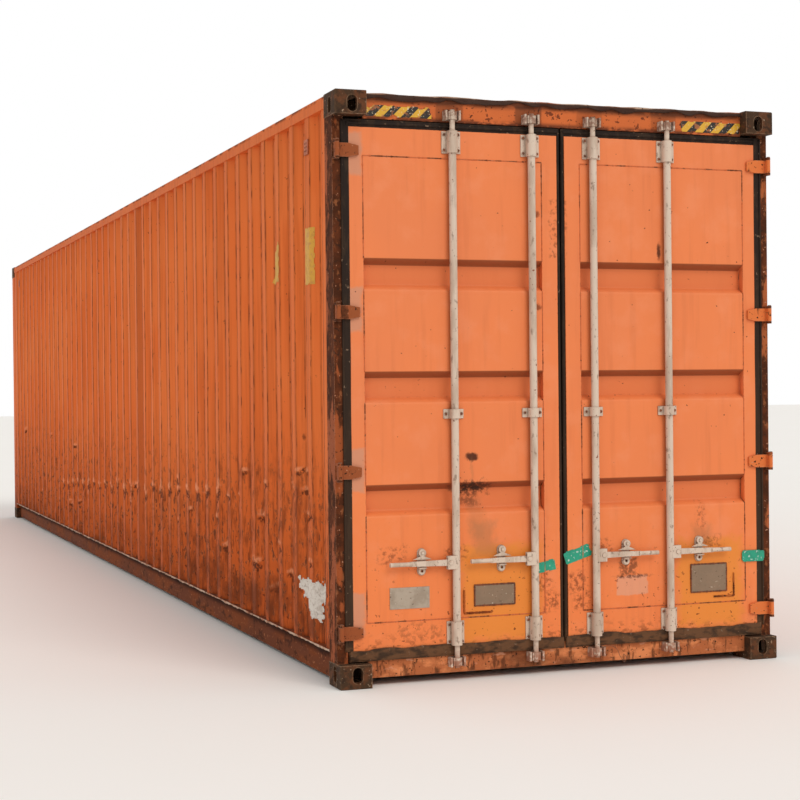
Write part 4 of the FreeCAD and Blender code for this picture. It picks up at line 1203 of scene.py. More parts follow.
@dataclass(frozen=True)
class SideWall:
    """A corrugated side wall, pressed, waved and knocked.

    Attributes:
        side: which side it is on.
        gauge_mm: its thickness.
        wave_mm: how far its flats wander.
    """

    side: Side
    gauge_mm: float = 2.0
    wave_mm: float = 1.8

    @property
    def node(self) -> str:
        """The CAD node that it stands for."""
        return f"side_wall_{self.side.value}"

    def section(self) -> Section:
        """Return its pressed section."""
        low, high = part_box(self.node)
        return Section((high.y - low.y) / MM, 72, 72, 68, 70, 36)

    def knocks(self) -> list[Knock]:
        """Return its crumples: a row along the middle of the box, and scrapes near the doors."""
        draw = np.random.default_rng(self.side.seed(41))
        found = []
        for rib in range(8, 31):
            at = 0.036 + rib * 0.278
            height = 0.8 - 0.04 * (at - 2.6) + draw.uniform(-0.025, 0.025)
            found.append(Knock(at, height, 0.05, draw.uniform(0.03, 0.045), draw.uniform(5, 9)))
            if draw.uniform() < 0.45:
                found.append(Knock(at + 0.139, height - 0.02, 0.04, 0.03, draw.uniform(3, 6)))
        near = ((0.4, 0.81, 0.11, 0.022, 13), (0.47, 0.915, 0.1, 0.016, 7), (0.66, 0.94, 0.06, 0.035, 11))
        near += ((1.29, 0.73, 0.09, 0.025, 13), (1.5, 0.64, 0.06, 0.03, 10), (1.78, 0.83, 0.06, 0.022, 9))
        near += ((2.02, 0.8, 0.07, 0.022, 9), (0.34, 0.57, 0.06, 0.022, 7), (0.9, 0.61, 0.06, 0.022, 8))
        near += ((0.5, 1.03, 0.08, 0.014, 6), (1.15, 0.93, 0.06, 0.018, 7), (2.3, 0.66, 0.05, 0.032, 8))
        near += ((0.95, 0.78, 0.05, 0.02, 6), (1.65, 0.98, 0.05, 0.016, 5), (2.15, 0.5, 0.06, 0.03, 7))
        near += ((0.75, 0.46, 0.05, 0.02, 5), (1.05, 0.36, 0.06, 0.024, 6), (1.4, 0.47, 0.06, 0.03, 7))
        found += [Knock(*row) for row in near]
        for _ in range(26):
            at, height = draw.uniform(0.2, 11.6), draw.uniform(0.25, 1.05)
            found.append(
                Knock(at, height, draw.uniform(0.03, 0.07), draw.uniform(0.014, 0.03), draw.uniform(2, 5))
            )
        return found

    def face_at(self, distance: np.ndarray, height: np.ndarray) -> tuple[np.ndarray, np.ndarray, np.ndarray]:
        """Work out the outer face.

        Args:
            distance: distances along the wall from its door end, in metres.
            height: heights in metres.

        Returns:
            Depth below the outermost plane, the hollows' rust and painted shadow, and the lips' strength,
            which sets their painted highlight, at each point.
        """
        depth = self.section().depth_at(distance) + np.zeros(np.broadcast(distance, height).shape)
        hollow_wear_and_shadow, ridge = np.zeros(depth.shape), np.zeros(depth.shape)
        low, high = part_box(self.node)
        held = share_of(np.minimum(height - low.z, high.z - height), 0.15)
        held = held * share_of(np.minimum(distance, (high.y - low.y) - distance), 0.1)
        wave = ripple(distance, height * 0.6, 0.5, self.side.seed(5)) * self.wave_mm * MM
        depth = depth + wave * held
        for knock in self.knocks():
            hollow, pit, lip = knock.hollow(distance, height)
            depth = depth + hollow * held
            hollow_wear_and_shadow, ridge = np.maximum(hollow_wear_and_shadow, pit), np.maximum(ridge, lip)
        return depth, hollow_wear_and_shadow, ridge

    def build(self, material: Material) -> None:
        """Make the wall and dress it."""
        low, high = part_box(self.node)
        distance, _, fold = self.section().stations(13.0)
        lower = np.arange(low.z, 1.12, 0.024)
        heights = np.concatenate([lower, np.linspace(1.15, high.z, 15)])
        run, rise = np.meshgrid(distance, heights)
        depth, hollow_wear_and_shadow, ridge = self.face_at(run, rise)
        outermost = self.side.outermost(low, high)
        points = to_points(outermost - self.side.sign * depth, low.y + run, rise)
        marks = {"fold": np.broadcast_to(fold, run.shape).copy(), "hollow_wear_and_shadow": hollow_wear_and_shadow, "ridge": ridge}
        left = self.side is Side.LEFT
        wall = sheet_piece(f"pressed_wall_{self.side.value}", points, self.gauge_mm, marks=marks, turned=left)
        fit(wall, material, "container", "side_paint", self.node)


@dataclass(frozen=True)
class FrontWall:
    """The corrugated wall that closes the far end.

    Attributes:
        gauge_mm: its thickness.
        wave_mm: how far its flats wander.
    """

    gauge_mm: float = 2.0
    wave_mm: float = 2.0

    def build(self, material: Material) -> None:
        """Make the wall and dress it."""
        low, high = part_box("front_wall")
        section = Section((high.x - low.x) / MM, None, 110, 18, 104, 45.6)
        distance, depth, fold = section.stations(9.0)
        heights = np.linspace(low.z, high.z, 40)
        run, rise = np.meshgrid(distance, heights)
        held = share_of(np.minimum(rise - low.z, high.z - rise), 0.15)
        inward = depth + ripple(run, rise, 0.5, 9) * self.wave_mm * MM * held
        points = to_points(low.x + run, high.y - inward, rise)
        marks = {"fold": np.broadcast_to(fold, run.shape).copy()}
        wall = sheet_piece("pressed_front_wall", points, self.gauge_mm, marks=marks, turned=True)
        fit(wall, material, "container", "side_paint", "front_wall")


@dataclass(frozen=True)
class Roof:
    """The pressed roof sheet, a little sagged between its edges and dented by feet.

    Attributes:
        gauge_mm: its thickness.
        sag_mm: how far its middle hangs.
    """

    gauge_mm: float = 2.0
    sag_mm: float = 4.0

    def build(self, material: Material) -> None:
        """Make the sheet and dress it."""
        low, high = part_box("roof")
        section = Section((high.y - low.y) / MM, None, 91, 13.5, 91, 20, 3.0)
        distance, depth, fold = section.stations(8.0)
        across = np.linspace(low.x, high.x, 27)
        run, side = np.meshgrid(distance, across)
        middle = share_of(1 - (side / high.x) ** 2, 1) * share_of(np.minimum(run, high.y - low.y - run), 0.4)
        down = depth + middle * (self.sag_mm + 2.5 * ripple(run, side, 0.6, 12)) * MM
        points = to_points(side, low.y + run, high.z - down)
        marks = {"fold": np.broadcast_to(fold, run.shape).copy()}
        sheet = sheet_piece("pressed_roof", points, self.gauge_mm, marks=marks, turned=True)
        fit(sheet, material, "container", "side_paint", "roof")


@dataclass(frozen=True)
class GuardPlate:
    """The guard plate over a header, its turned-down edge bent in waves by forklifts.

    Attributes:
        gauge_mm: its thickness.
        lip_mm: how far its edge turns down.
        rise_mm: how far its crest is pushed up at most.
    """

    gauge_mm: float = 4.0
    lip_mm: float = 23.0
    rise_mm: float = 3.0

    def build(self, material: Material) -> None:
        """Make the plates over both headers and dress them."""
        low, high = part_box("roof_end_plates")
        self.plate("guard_plate_doors", low.y, 1.0, 21, material, "roof_end_plates")
        self.plate("guard_plate_front", high.y, -1.0, 22, material)

    def plate(
        self, name: str, edge: float, inward: float, seed: int, material: Material, *stands_for: str
    ) -> None:
        """Make one plate and dress it.

        Args:
            name: the piece's name.
            edge: where its outer edge is along the length.
            inward: the direction from its edge towards the middle of the box, 1 or -1.
            seed: what its bends are drawn from.
            material: its finish.
            stands_for: CAD nodes that it replaces.
        """
        low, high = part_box("roof_end_plates")
        steps = (
            (0.272, 0.0), (0.16, 0.0), (0.08, 0.0), (0.04, 0.0), (0.016, 0.0), (0.006, 0.001), (0.001, 0.005)
        )
        lip = np.array(steps + ((0.0, 0.011), (0.0, 0.017), (0.001, self.lip_mm * MM)))
        across = np.linspace(low.x, high.x, 190)
        run, row = np.meshgrid(across, np.arange(len(lip)))
        bent = ripple(run, 0.0, 0.13, seed, 8)
        fine = ripple(run, 0.0, 0.05, seed + 7, 5)
        near_edge = share_of(0.07 - lip[row, 0], 0.07)
        lifted = (np.clip(bent, -1, 1) * self.rise_mm + fine * 0.8) * MM * near_edge
        out = (ripple(run, lip[row, 1] * 4, 0.1, seed + 3, 7) * 3.0 + 1.0) * MM * near_edge
        hang = lip[row, 1] * (1 + 0.5 * ripple(run, 0.0, 0.09, seed + 5, 7))
        y = edge + inward * (lip[row, 0] - np.clip(out, -0.003, 0.006))
        z = high.z - np.maximum(hang, 0) + lifted
        plate = sheet_piece(name, to_points(run, y, z), self.gauge_mm, turned=inward < 0)
        fit(plate, material, "container", "side_paint", *stands_for)


@dataclass(frozen=True)
class RailLip:
    """The ragged edge of paint and scale that hangs off the bottom rail's shelf, under a side wall.

    Attributes:
        side: which side it is on.
        drop_mm: how far it hangs at most.
    """

    side: Side
    drop_mm: float = 9.0

    def build(self, material: Material) -> None:
        """Make the lip and dress it."""
        low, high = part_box(f"bottom_rail_{self.side.value}")
        edge = self.side.outermost(low, high)
        run = np.linspace(low.y + 0.004, high.y - 0.004, 1100)
        along, row = np.meshgrid(run, np.arange(4))
        seed = self.side.seed(61)
        hang = 0.45 + 0.4 * ripple(along, 0.0, 0.09, seed, 9)
        hang = hang + 0.25 * ripple(along, 0.0, 0.03, seed + 1, 6)
        hang = np.clip(hang, 0.05, 1.1) * self.drop_mm * MM
        top = high.z + (0.6 + 0.6 * ripple(along, 0.0, 0.12, seed + 2)) * MM
        share = row / 3.0
        bulge = np.sin(share * math.pi) * 0.0015 + 0.0008
        x = edge + self.side.sign * (bulge + 0.0008 * ripple(along, 0.0, 0.05, seed + 3))
        z = top * (1 - share) + (high.z - 0.0045 - hang) * share
        right = self.side is Side.RIGHT
        lip = sheet_piece(f"rail_lip_{self.side.value}", to_points(x, along, z), 1.2, turned=right)
        fit(lip, material, "container", "underframe_paint")


@dataclass(frozen=True)
class Scrap:
    """A torn remnant of film stuck to a side wall, following its ribs.

    Attributes:
        name: the piece's name.
        corners: its outline, as distance behind the doors and height, in metres.
        ragged_mm: how far its torn edge strays.
        proud_mm: how far it stands off the paint.
    """

    name: str
    corners: tuple[tuple[float, float], ...]
    ragged_mm: float = 8.0
    proud_mm: float = 1.2

    def inside(self, distance: np.ndarray, height: np.ndarray) -> np.ndarray:
        """Tell for each point whether it is inside the outline."""
        found = np.zeros(distance.shape, bool)
        pairs = zip(self.corners, self.corners[1:] + self.corners[:1])
        for (d0, z0), (d1, z1) in pairs:
            spans = (z0 > height) != (z1 > height)
            with np.errstate(divide="ignore", invalid="ignore"):
                crossing = (d1 - d0) * (height - z0) / (z1 - z0) + d0
            found ^= spans & (distance < crossing)
        return found

    def build(self, wall: SideWall, material: Material) -> None:
        """Make the scrap on a wall and dress it."""
        low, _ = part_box(wall.node)
        table = np.array(self.corners)
        first, last = table.min(0) - 0.02, table.max(0) + 0.02
        step = 0.006
        run, rise = np.meshgrid(np.arange(first[0], last[0], step), np.arange(first[1], last[1], step))
        middle_run, middle_rise = run[:-1, :-1] + step / 2, rise[:-1, :-1] + step / 2
        stray = self.ragged_mm * MM
        tear_run = middle_run + ripple(middle_run, middle_rise, 0.03, 71, 8) * stray
        tear_rise = middle_rise + ripple(middle_run, middle_rise, 0.024, 72, 8) * stray
        keep = self.inside(tear_run, tear_rise)
        from_wall_start = run + DOOR_END - low.y
        depth = wall.face_at(from_wall_start, rise)[0] - self.proud_mm * MM - 0.0006
        depth = depth - 0.0006 * ripple(run, rise, 0.04, 73)
        points = to_points(low.x + depth, DOOR_END + run, rise)
        scrap = sheet_piece(self.name, points, 0.5, keep=keep, turned=True)
        fit(scrap, material, "container", "side_paint")


@dataclass(frozen=True)
class DoorLeaf:
    """One door's sheet with its pressed bands, its welds, seal lips and plate frames.

    Attributes:
        side: which door it is.
        band_mm: height of a band.
        band_slope_mm: run of a band's slopes.
        band_drop_mm: how deep a band is pressed.
        lowest_band_mm: height of the lowest band's middle.
        band_pitch_mm: distance between bands.
        gauge_mm: thickness of the sheet.
    """

    side: Side
    band_mm: float = 150.0
    band_slope_mm: float = 25.0
    band_drop_mm: float = 40.0
    lowest_band_mm: float = 903.0
    band_pitch_mm: float = 554.0
    gauge_mm: float = 2.0

    @property
    def body(self) -> str:
        """The body that it moves with."""
        return f"door_{self.side.value}"

    def box(self) -> tuple[Vector, Vector]:
        """Return the sheet's lowest and highest corner."""
        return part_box(f"door_panel_{self.side.value}")

    def folds(self) -> list[float]:
        """Return the heights of the four folds of each band, in metres."""
        ends = (0, self.band_slope_mm, self.band_mm - self.band_slope_mm, self.band_mm)
        starts = [self.lowest_band_mm + band * self.band_pitch_mm - self.band_mm / 2 for band in range(3)]
        return [(start + at) * MM for start in starts for at in ends]

    def depth_at(self, height: np.ndarray) -> np.ndarray:
        """Return how deep the sheet is at heights, both in metres."""
        low, high = self.box()
        drops = (0.0, self.band_drop_mm * MM, self.band_drop_mm * MM, 0.0) * 3
        return np.interp(height, [low.z, *self.folds(), high.z], [0.0, *drops, 0.0])

    def surface(self, x: np.ndarray, height: np.ndarray) -> np.ndarray:
        """Return where the sheet's front is along the length, waves included."""
        low, high = self.box()
        held = share_of(np.minimum.reduce([x - low.x, high.x - x, height - low.z, high.z - height]), 0.12)
        seed = self.side.seed(31)
        return low.y + self.depth_at(height) + (0.9 + ripple(x, height, 0.45, seed) * 1.4) * MM * held

    def build_sheet(self, material: Material) -> None:
        """Make the pressed sheet and dress it."""
        low, high = self.box()
        bends = [fold + step * MM for fold in self.folds() for step in (-9, -3, 3, 9)]
        levels = [low.z, low.z + 0.012, *bends, high.z - 0.012, high.z]
        filled = np.unique(np.concatenate([levels, np.arange(low.z + 0.05, high.z - 0.03, 0.07)]))
        x, rise = np.meshgrid(np.linspace(low.x, high.x, 34), filled)
        points = to_points(x, self.surface(x, rise), rise)
        sheet = sheet_piece(f"pressed_door_{self.side.value}", points, self.gauge_mm)
        fit(sheet, material, self.body, "door_paint", f"door_panel_{self.side.value}")

    def build_welds(self, material: Material) -> None:
        """Lay the weld beads round the sheet and dress them."""
        low, high = self.box()
        draw = np.random.default_rng(self.side.seed(51))
        upward = np.linspace(low.z, high.z, 420)
        across = np.linspace(low.x, high.x, 200)
        beads = {
            "inner": to_points(low.x, low.y + self.depth_at(upward), upward),
            "outer": to_points(high.x, low.y + self.depth_at(upward), upward),
            "low": to_points(across, low.y, low.z),
            "high": to_points(across, low.y, high.z),
        }
        for name, path in beads.items():
            radii = 0.0022 + 0.0009 * np.abs(draw.normal(size=len(path)))
            bead = tube_piece(f"weld_{name}_{self.side.value}", path, np.minimum(radii, 0.0042), 6)
            fit(bead, material, self.body, "door_paint")

    def build_seal(self, material: Material) -> None:
        """Make the seal's rounded lip down both sides and over the top, and its wavy foot."""
        low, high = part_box(f"door_gasket_{self.side.value}")
        leaf_low, leaf_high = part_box(f"door_frame_{self.side.value}")
        front = low.y + 0.012
        centres = ((low.x + leaf_low.x) / 2, (high.x + leaf_high.x) / 2)
        top = (leaf_high.z + high.z) / 2 + 0.002
        for number, x in enumerate(centres):
            rise = np.linspace(leaf_low.z, top, 120)
            waver = 0.0007 * ripple(rise, 0.0, 0.3, 81 + number)
            path = to_points(x + waver, front + 0.002 + waver, rise)
            bulb = tube_piece(f"seal_bulb_{self.side.value}_{number}", path, 0.0068, 10)
            fit(bulb, material, self.body, "gasket_rubber")
        across = np.linspace(centres[0], centres[1], 90)
        waver = 0.001 * ripple(across, 0.0, 0.25, 84)
        path = to_points(across, front + 0.002 + waver, top + waver)
        fit(tube_piece(f"seal_top_{self.side.value}", path, 0.009, 10), material, self.body, "gasket_rubber")
        self.build_apron(material)

    def build_post_lip(self, material: Material) -> None:
        """Make the flap of the seal that laps over the post's face, with its thick outer edge."""
        leaf_low, leaf_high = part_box(f"door_frame_{self.side.value}")
        edge = self.side.outermost(leaf_low, leaf_high)
        post_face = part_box(f"door_post_{self.side.value}")[0].y
        rise = np.linspace(leaf_low.z + 0.004, leaf_high.z + 0.034, 150)
        reach = np.array([-0.003, 0.006, 0.014, 0.022, 0.032, 0.0385])
        back = np.array([0.004, 0.0015, 0.0012, 0.0012, 0.0012, 0.0018])
        up, column = np.meshgrid(rise, np.arange(len(reach)), indexing="ij")
        waver = 0.0006 * ripple(up, column * 0.01, 0.25, 95)
        x = edge + self.side.sign * (reach[column] + waver)
        points = to_points(x, post_face - 0.0035 - back[column] + 0.8 * waver, up)
        flap = sheet_piece(f"seal_lip_{self.side.value}", points, 2.0, turned=self.side is Side.LEFT)
        fit(flap, material, self.body, "gasket_rubber")
        spine = to_points(edge + self.side.sign * 0.033 + waver[:, 0], post_face - 0.0068, rise)
        bead = tube_piece(f"seal_lip_bead_{self.side.value}", spine, 0.0052, 10)
        fit(bead, material, self.body, "gasket_rubber")

    def build_apron(self, material: Material) -> None:
        """Make the drooping flap under the leaf, over the sill, and dress it."""
        low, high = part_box(f"door_gasket_{self.side.value}")
        leaf_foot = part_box(f"door_frame_{self.side.value}")[0].z
        across = np.linspace(low.x + 0.004, high.x - 0.004, 150)
        x, share = np.meshgrid(across, np.linspace(0, 1, 7))
        uneven = 0.006 * ripple(across, 0.0, 0.16, 85) + 0.002 * ripple(across, 0.0, 0.05, 86)
        crest = leaf_foot + 0.012 + uneven
        foot = low.z + 0.003 + 0.004 * ripple(across, 0.0, 0.2, 87)
        rise = crest[None, :] * (1 - share) + foot[None, :] * share
        wave = 0.0014 * ripple(x, share, 0.08, 88) + np.sin(share * math.pi) * 0.003
        points = to_points(x, low.y - 0.0015 - wave, rise)
        flap = sheet_piece(f"seal_apron_{self.side.value}", points, 3.0, turned=True)
        fit(flap, material, self.body, "gasket_rubber")

    def build_outline(
        self, name: str, corners: Sequence[tuple[float, float]], radius_mm: float, material: Material
    ) -> None:
        """Make a rusted bead that follows straight runs on the sheet, round a plate or where one was welded.

        Args:
            name: the piece's name.
            corners: where its runs meet, across the doors and up, in metres.
            radius_mm: its radius.
            material: its finish.
        """
        front = self.box()[0].y - 0.0022
        runs = [np.linspace(a, b, 30, endpoint=False) for a, b in zip(corners[:-1], corners[1:])]
        dense = np.concatenate(runs + [np.array([corners[-1]])])
        draw = np.random.default_rng(len(name))
        line = to_points(dense[:, 0], front, dense[:, 1])
        radii = radius_mm * MM * (1 + 0.3 * draw.uniform(-1, 1, len(line)))
        fit(tube_piece(name, line, radii, 6), material, self.body, "door_paint")

    def build_bolts(self, material: Material) -> None:
        """Put a hexagon head on each bolt of the rod brackets."""
        face = self.box()[0].y - 0.006
        sizes = ((0.237, 0.092, 0.118), (1.324, 0.107, 0.047), (2.667, 0.1, 0.11))
        vertices: list[Point] = []
        faces: list[tuple[int, ...]] = []
        for rod in (0.172, 0.6):
            for height, width, tall in sizes:
                rises = (0.0,) if tall < 0.06 else (-tall / 2 + 0.016, tall / 2 - 0.016)
                for across in (-width / 2 + 0.012, width / 2 - 0.012):
                    for rise in rises:
                        self.add_head(vertices, faces, self.side.sign * rod + across, face, height + rise)
        heads = link_mesh(f"bracket_bolts_{self.side.value}", vertices, faces, smooth=False)
        fit(heads, material, self.body, "gear_zinc")

    @staticmethod
    def add_head(vertices: list[Point], faces: list[tuple[int, ...]], x: float, y: float, z: float) -> None:
        """Add one hexagon head with a chamfered crown to a mesh's lists."""
        start = len(vertices)
        for radius, rise in ((0.0075, 0.001), (0.0075, -0.0045), (0.0055, -0.006)):
            for corner in range(6):
                angle = math.tau * corner / 6
                vertices.append((x + radius * math.cos(angle), y + rise, z + radius * math.sin(angle)))
        for ring in range(2):
            for corner in range(6):
                step = (corner + 1) % 6
                low, high = start + ring * 6, start + ring * 6 + 6
                faces.append((low + corner, low + step, high + step, high + corner))
        faces.append(tuple(start + 12 + corner for corner in range(6)))
        faces.append(tuple(start + corner for corner in reversed(range(6))))


def frame_path(x: float, z: float, width: float, height: float) -> tuple[tuple[float, float], ...]:
    """Return the closed outline of a plate from its middle and size, in metres."""
    x0, x1, z0, z1 = x - width / 2, x + width / 2, z - height / 2, z + height / 2
    return ((x0, z0), (x1, z0), (x1, z1), (x0, z1), (x0, z0))


@dataclass(frozen=True)
class TapePiece:
    """A strip of tape stuck flat on the door end, with rounded or torn ends.

    Attributes:
        name: the piece's name.
        start: its lower or left end across the doors and up, in metres.
        end: its other end.
        width_mm: how wide it is.
        body: what it is stuck on.
        front: where its face is along the length, in metres.
        ragged_mm: how torn it is.
        seed: what its tears are drawn from.
    """

    name: str
    start: tuple[float, float]
    end: tuple[float, float]
    width_mm: float
    body: str
    front: float
    ragged_mm: float = 2.0
    seed: int = 0

    def build(self, material: Material, slot: str) -> None:
        """Make the strip and dress it."""
        first, last = np.array(self.start), np.array(self.end)
        length = float(np.linalg.norm(last - first))
        ahead = (last - first) / length
        aside = np.array([-ahead[1], ahead[0]])
        half = self.width_mm * MM / 2
        step = 0.004
        run, off = np.meshgrid(np.arange(0, length + step, step), np.arange(-half, half + step, step))
        middle_run, middle_off = run[:-1, :-1] + step / 2, off[:-1, :-1] + step / 2
        stray = self.ragged_mm * MM
        torn_run = middle_run + ripple(middle_run, middle_off, 0.03, self.seed, 7) * stray
        torn_off = middle_off + ripple(middle_run, middle_off, 0.04, self.seed + 1, 7) * stray
        past = np.maximum(np.abs(torn_run - length / 2) - (length / 2 - half * 0.6), 0)
        keep = (past / (half * 0.6)) ** 4 + (torn_off / half) ** 4 < 1.0
        x = first[0] + ahead[0] * run + aside[0] * off
        z = first[1] + ahead[1] * run + aside[1] * off
        lift = 0.0005 * (1 + ripple(run, off, 0.05, self.seed + 2))
        left_handed = float(np.cross(ahead, aside)) < 0
        strip = sheet_piece(self.name, to_points(x, self.front - lift, z), 0.4, keep=keep, turned=left_handed)
        fit(strip, material, self.body, slot)


@dataclass(frozen=True)
class WireRemnant:
    """The twist of old sealing wire left on a cam.

    Attributes:
        points: where it goes, in metres.
        gauge_mm: its diameter.
    """

    points: tuple[Point, ...]
    gauge_mm: float = 3.0

    def build(self, material: Material) -> None:
        """Make the wire and dress it."""
        table = np.array(self.points)
        line = np.linspace(0, len(table) - 1, 70)
        path = to_points(*(self.smooth(line, table[:, axis]) for axis in range(3)))
        wire = tube_piece("seal_wire", path, self.gauge_mm * MM / 2, 6)
        fit(wire, material, "container", "bare_steel")

    @staticmethod
    def smooth(line: np.ndarray, values: np.ndarray) -> np.ndarray:
        """Run a smooth line through values at whole steps."""
        share = np.clip(line, 0, len(values) - 1)
        low = np.minimum(share.astype(int), len(values) - 2)
        part = share - low
        padded = np.concatenate([[2 * values[0] - values[1]], values, [2 * values[-1] - values[-2]]])
        a, b, c, d = (padded[low + step] for step in range(4))
        return b + 0.5 * part * (c - a + part * (2 * a - 5 * b + 4 * c - d + part * (3 * (b - c) + d - a)))


@dataclass(frozen=True)
class Studio:
    """The camera, the pale floor and the soft light.

    Attributes:
        camera_at: where the camera stands, in metres.
        heading: its turn to the right from straight ahead, in radians.
        tilt: its tilt up, in radians.
        roll: its roll, in radians.
        lens_mm: its lens on a 36 mm sensor.
        sky: brightness of the sky.
        sun: strength of the sun.
        towards_sun: the direction to it.
    """

    camera_at: Point = (-3.7071, -13.742, 1.452)
    heading: float = 0.3518
    tilt: float = -0.0069
    roll: float = -0.0101
    lens_mm: float = 75.29
    sky: float = 0.78
    sun: float = 0.9
    towards_sun: Point = (0.22, -0.72, 0.72)

    def build(self) -> None:
        """Set up the camera, floor and light."""
        self.camera()
        self.floor()
        self.light()

    def camera(self) -> None:
        """Make the camera and set it as the scene's."""
        ahead = Vector((math.sin(self.heading), math.cos(self.heading), math.tan(self.tilt))).normalized()
        right = Vector((math.cos(self.heading), -math.sin(self.heading), 0.0))
        up = right.cross(ahead)
        x_axis = right * math.cos(self.roll) + up * math.sin(self.roll)
        y_axis = up * math.cos(self.roll) - right * math.sin(self.roll)
        data = bpy.data.cameras.new("view")
        data.lens = self.lens_mm
        data.sensor_width = 36.0
        data.clip_end = 200.0
        eye = bpy.data.objects.new("view", data)
        turn = Matrix((x_axis, y_axis, -ahead)).transposed().to_4x4()
        eye.matrix_world = Matrix.Translation(self.camera_at) @ turn
        bpy.context.scene.collection.objects.link(eye)
        bpy.context.scene.camera = eye

    def floor(self) -> None:
        """Make the plain pale floor."""
        surface = Surface("pale_floor", Coat("#F5F4F2", 0.85))
        surface.mottle(Coat("#F7F6F5", 0.85), 0.5, 0.5, 0.3, 2500)
        across, along = np.meshgrid(np.linspace(-90, 90, 13), np.linspace(-90, 90, 13))
        ground = grid_piece("ground", to_points(across, along, 0.0))
        ground.data.materials.append(surface.done())

    def light(self) -> None:
        """Make the soft sky and sun."""
        world = bpy.data.worlds.new("studio")
        world.use_nodes = True
        tree = world.node_tree
        tree.nodes.clear()
        seen = add_node(tree, "ShaderNodeLightPath", out="Is Camera Ray")
        sky = add_node(tree, "ShaderNodeBackground", {0: linear("#FDFBF8"), 1: self.sky})
        paper = add_node(tree, "ShaderNodeBackground", {0: linear("#FFFFFF"), 1: 1.0})
        mixed = add_node(tree, "ShaderNodeMixShader", {0: seen, 1: sky, 2: paper})
        output = tree.nodes.new("ShaderNodeOutputWorld")
        tree.links.new(mixed, output.inputs[0])
        bpy.context.scene.world = world
        lamp = bpy.data.lights.new("sun", "SUN")
        lamp.energy = self.sun
        lamp.angle = math.radians(28)
        lamp.color = linear("#FFF8EF")[:3]
        sun = bpy.data.objects.new("sun", lamp)
        sun.rotation_euler = Vector(self.towards_sun).to_track_quat("Z", "Y").to_euler()
        bpy.context.scene.collection.objects.link(sun)
        bpy.context.scene.view_settings.view_transform = "Standard"


@dataclass
class Finishes:
    """All the container's finishes, made once."""

    def __post_init__(self) -> None:
        """Make the materials."""
        brown = Coat("#97502C", 0.65, 0.2)
        self.side = SideEnamel().make("side_enamel_faded")
        self.door = DoorEnamel().make("door_enamel_sprayed")
        self.header = HeaderEnamel().make("header_enamel_sprayed")
        self.sill = SillEnamel().make("sill_enamel_worn")
        self.post_left = PeelingEnamel(Coat("#9C4F28", 0.65, 0.2), left=0.53).make("post_enamel_peeling")
        self.post_right = PeelingEnamel(Coat("#A85A30", 0.6, 0.2), left=0.55).make("post_enamel_rusted")
        self.hinge_left = PeelingEnamel(brown, Coat("#6A3A22", 0.85), 0.42).make("hinge_enamel_rusted")
        self.hinge_right = PeelingEnamel(Coat("#DD773E", 0.5, 0.15), left=0.38).make("hinge_enamel_orange")
        self.underframe = UnderframePaint().make("chassis_wax_rusted")
        self.casting = CastSteel().make("cast_steel_scaled")
        self.gear = GalvanisedGear().make("hot_dip_zinc_weathered")
        self.bare = RustedSteel().make("bare_steel_rusted")
        self.rubber = RubberSeal().make("epdm_seal")
        self.plate = PlateAluminium().make("rolled_plate_dulled")
        self.plywood = FloorPlywood().make("marine_plywood")
        self.plastic = MouldedPlastic().make("abs_vent_cover")
        self.lip = WornLipPaint().make("rail_lip_paint_chalked")
        guard = WornLipPaint(Coat("#8A5A40", 0.7), Coat("#BFA48E", 0.75), 2.8895)
        self.guard = guard.make("guard_paint_chalked")
        self.stripes = StripedTape().make("vinyl_stripe_tape")
        teal = Film(Coat("#1F9C7C", 0.4), Coat("#D8E4DC", 0.6), Coat("#17705B", 0.5))
        paper = Film(Coat("#DDD6CC", 0.7), Coat("#B9ACA0", 0.75), Coat("#9A8472", 0.8), 0.6)
        yellow = Film(Coat("#D8A232", 0.5), Coat("#C98C4A", 0.6), Coat("#B5752F", 0.6), 0.6)
        weld = PeelingEnamel(Coat("#CC6A3C", 0.55, 0.1), Coat("#7A3F22", 0.85), 0.47)
        self.teal = teal.make("teal_cloth_tape")
        self.paper = paper.make("torn_paper_film")
        self.yellow = yellow.make("yellow_vinyl_film")
        self.weld = weld.make("weld_bead_painted")
        trace = PeelingEnamel(Coat("#B5622C", 0.7, 0.1), Coat("#8A4420", 0.85), 0.5, Coat("#A0603A", 0.8))
        self.trace = trace.make("weld_trace_rusted")

    def plan(self) -> dict[str, Material]:
        """Return which finish each kept CAD node gets, by the start of its name."""
        return {
            "door_castings": self.casting,
            "front_castings": self.casting,
            "door_post_left": self.post_left,
            "door_post_right": self.post_right,
            "front_post_": self.side,
            "bottom_rail_": self.underframe,
            "top_rail_": self.side,
            "door_header": self.header,
            "door_sill": self.sill,
            "front_header": self.side,
            "front_sill": self.underframe,
            "floor": self.plywood,
            "cross_members": self.underframe,
            "ventilators": self.plastic,
            "hinge_lugs": self.post_left,
            "hinge_pins": self.bare,
            "cam_keepers": self.gear,
            "door_frame_": self.door,
            "door_gasket_": self.rubber,
            "hinge_blades_left": self.hinge_left,
            "hinge_blades_right": self.hinge_right,
            "rod_brackets_": self.gear,
            "handle_catches_": self.gear,
            "blank_plates_": self.plate,
            "lock_rod_": self.gear,
            "handle_": self.gear,
            "latch_": self.gear,
        }

    def dress(self, nodes: dict[str, Piece]) -> None:
        """Give every kept CAD node its finish.

        Args:
            nodes: the CAD nodes by name.
        """
        plan = sorted(self.plan().items(), key=lambda row: -len(row[0]))
        for name, node in nodes.items():
            material = next((finish for start, finish in plan if name.startswith(start)), None)
            if material is None:
                continue
            for slot in node.material_slots:
                slot.material = material
            log.info("%s dressed in %s", name, material.name)


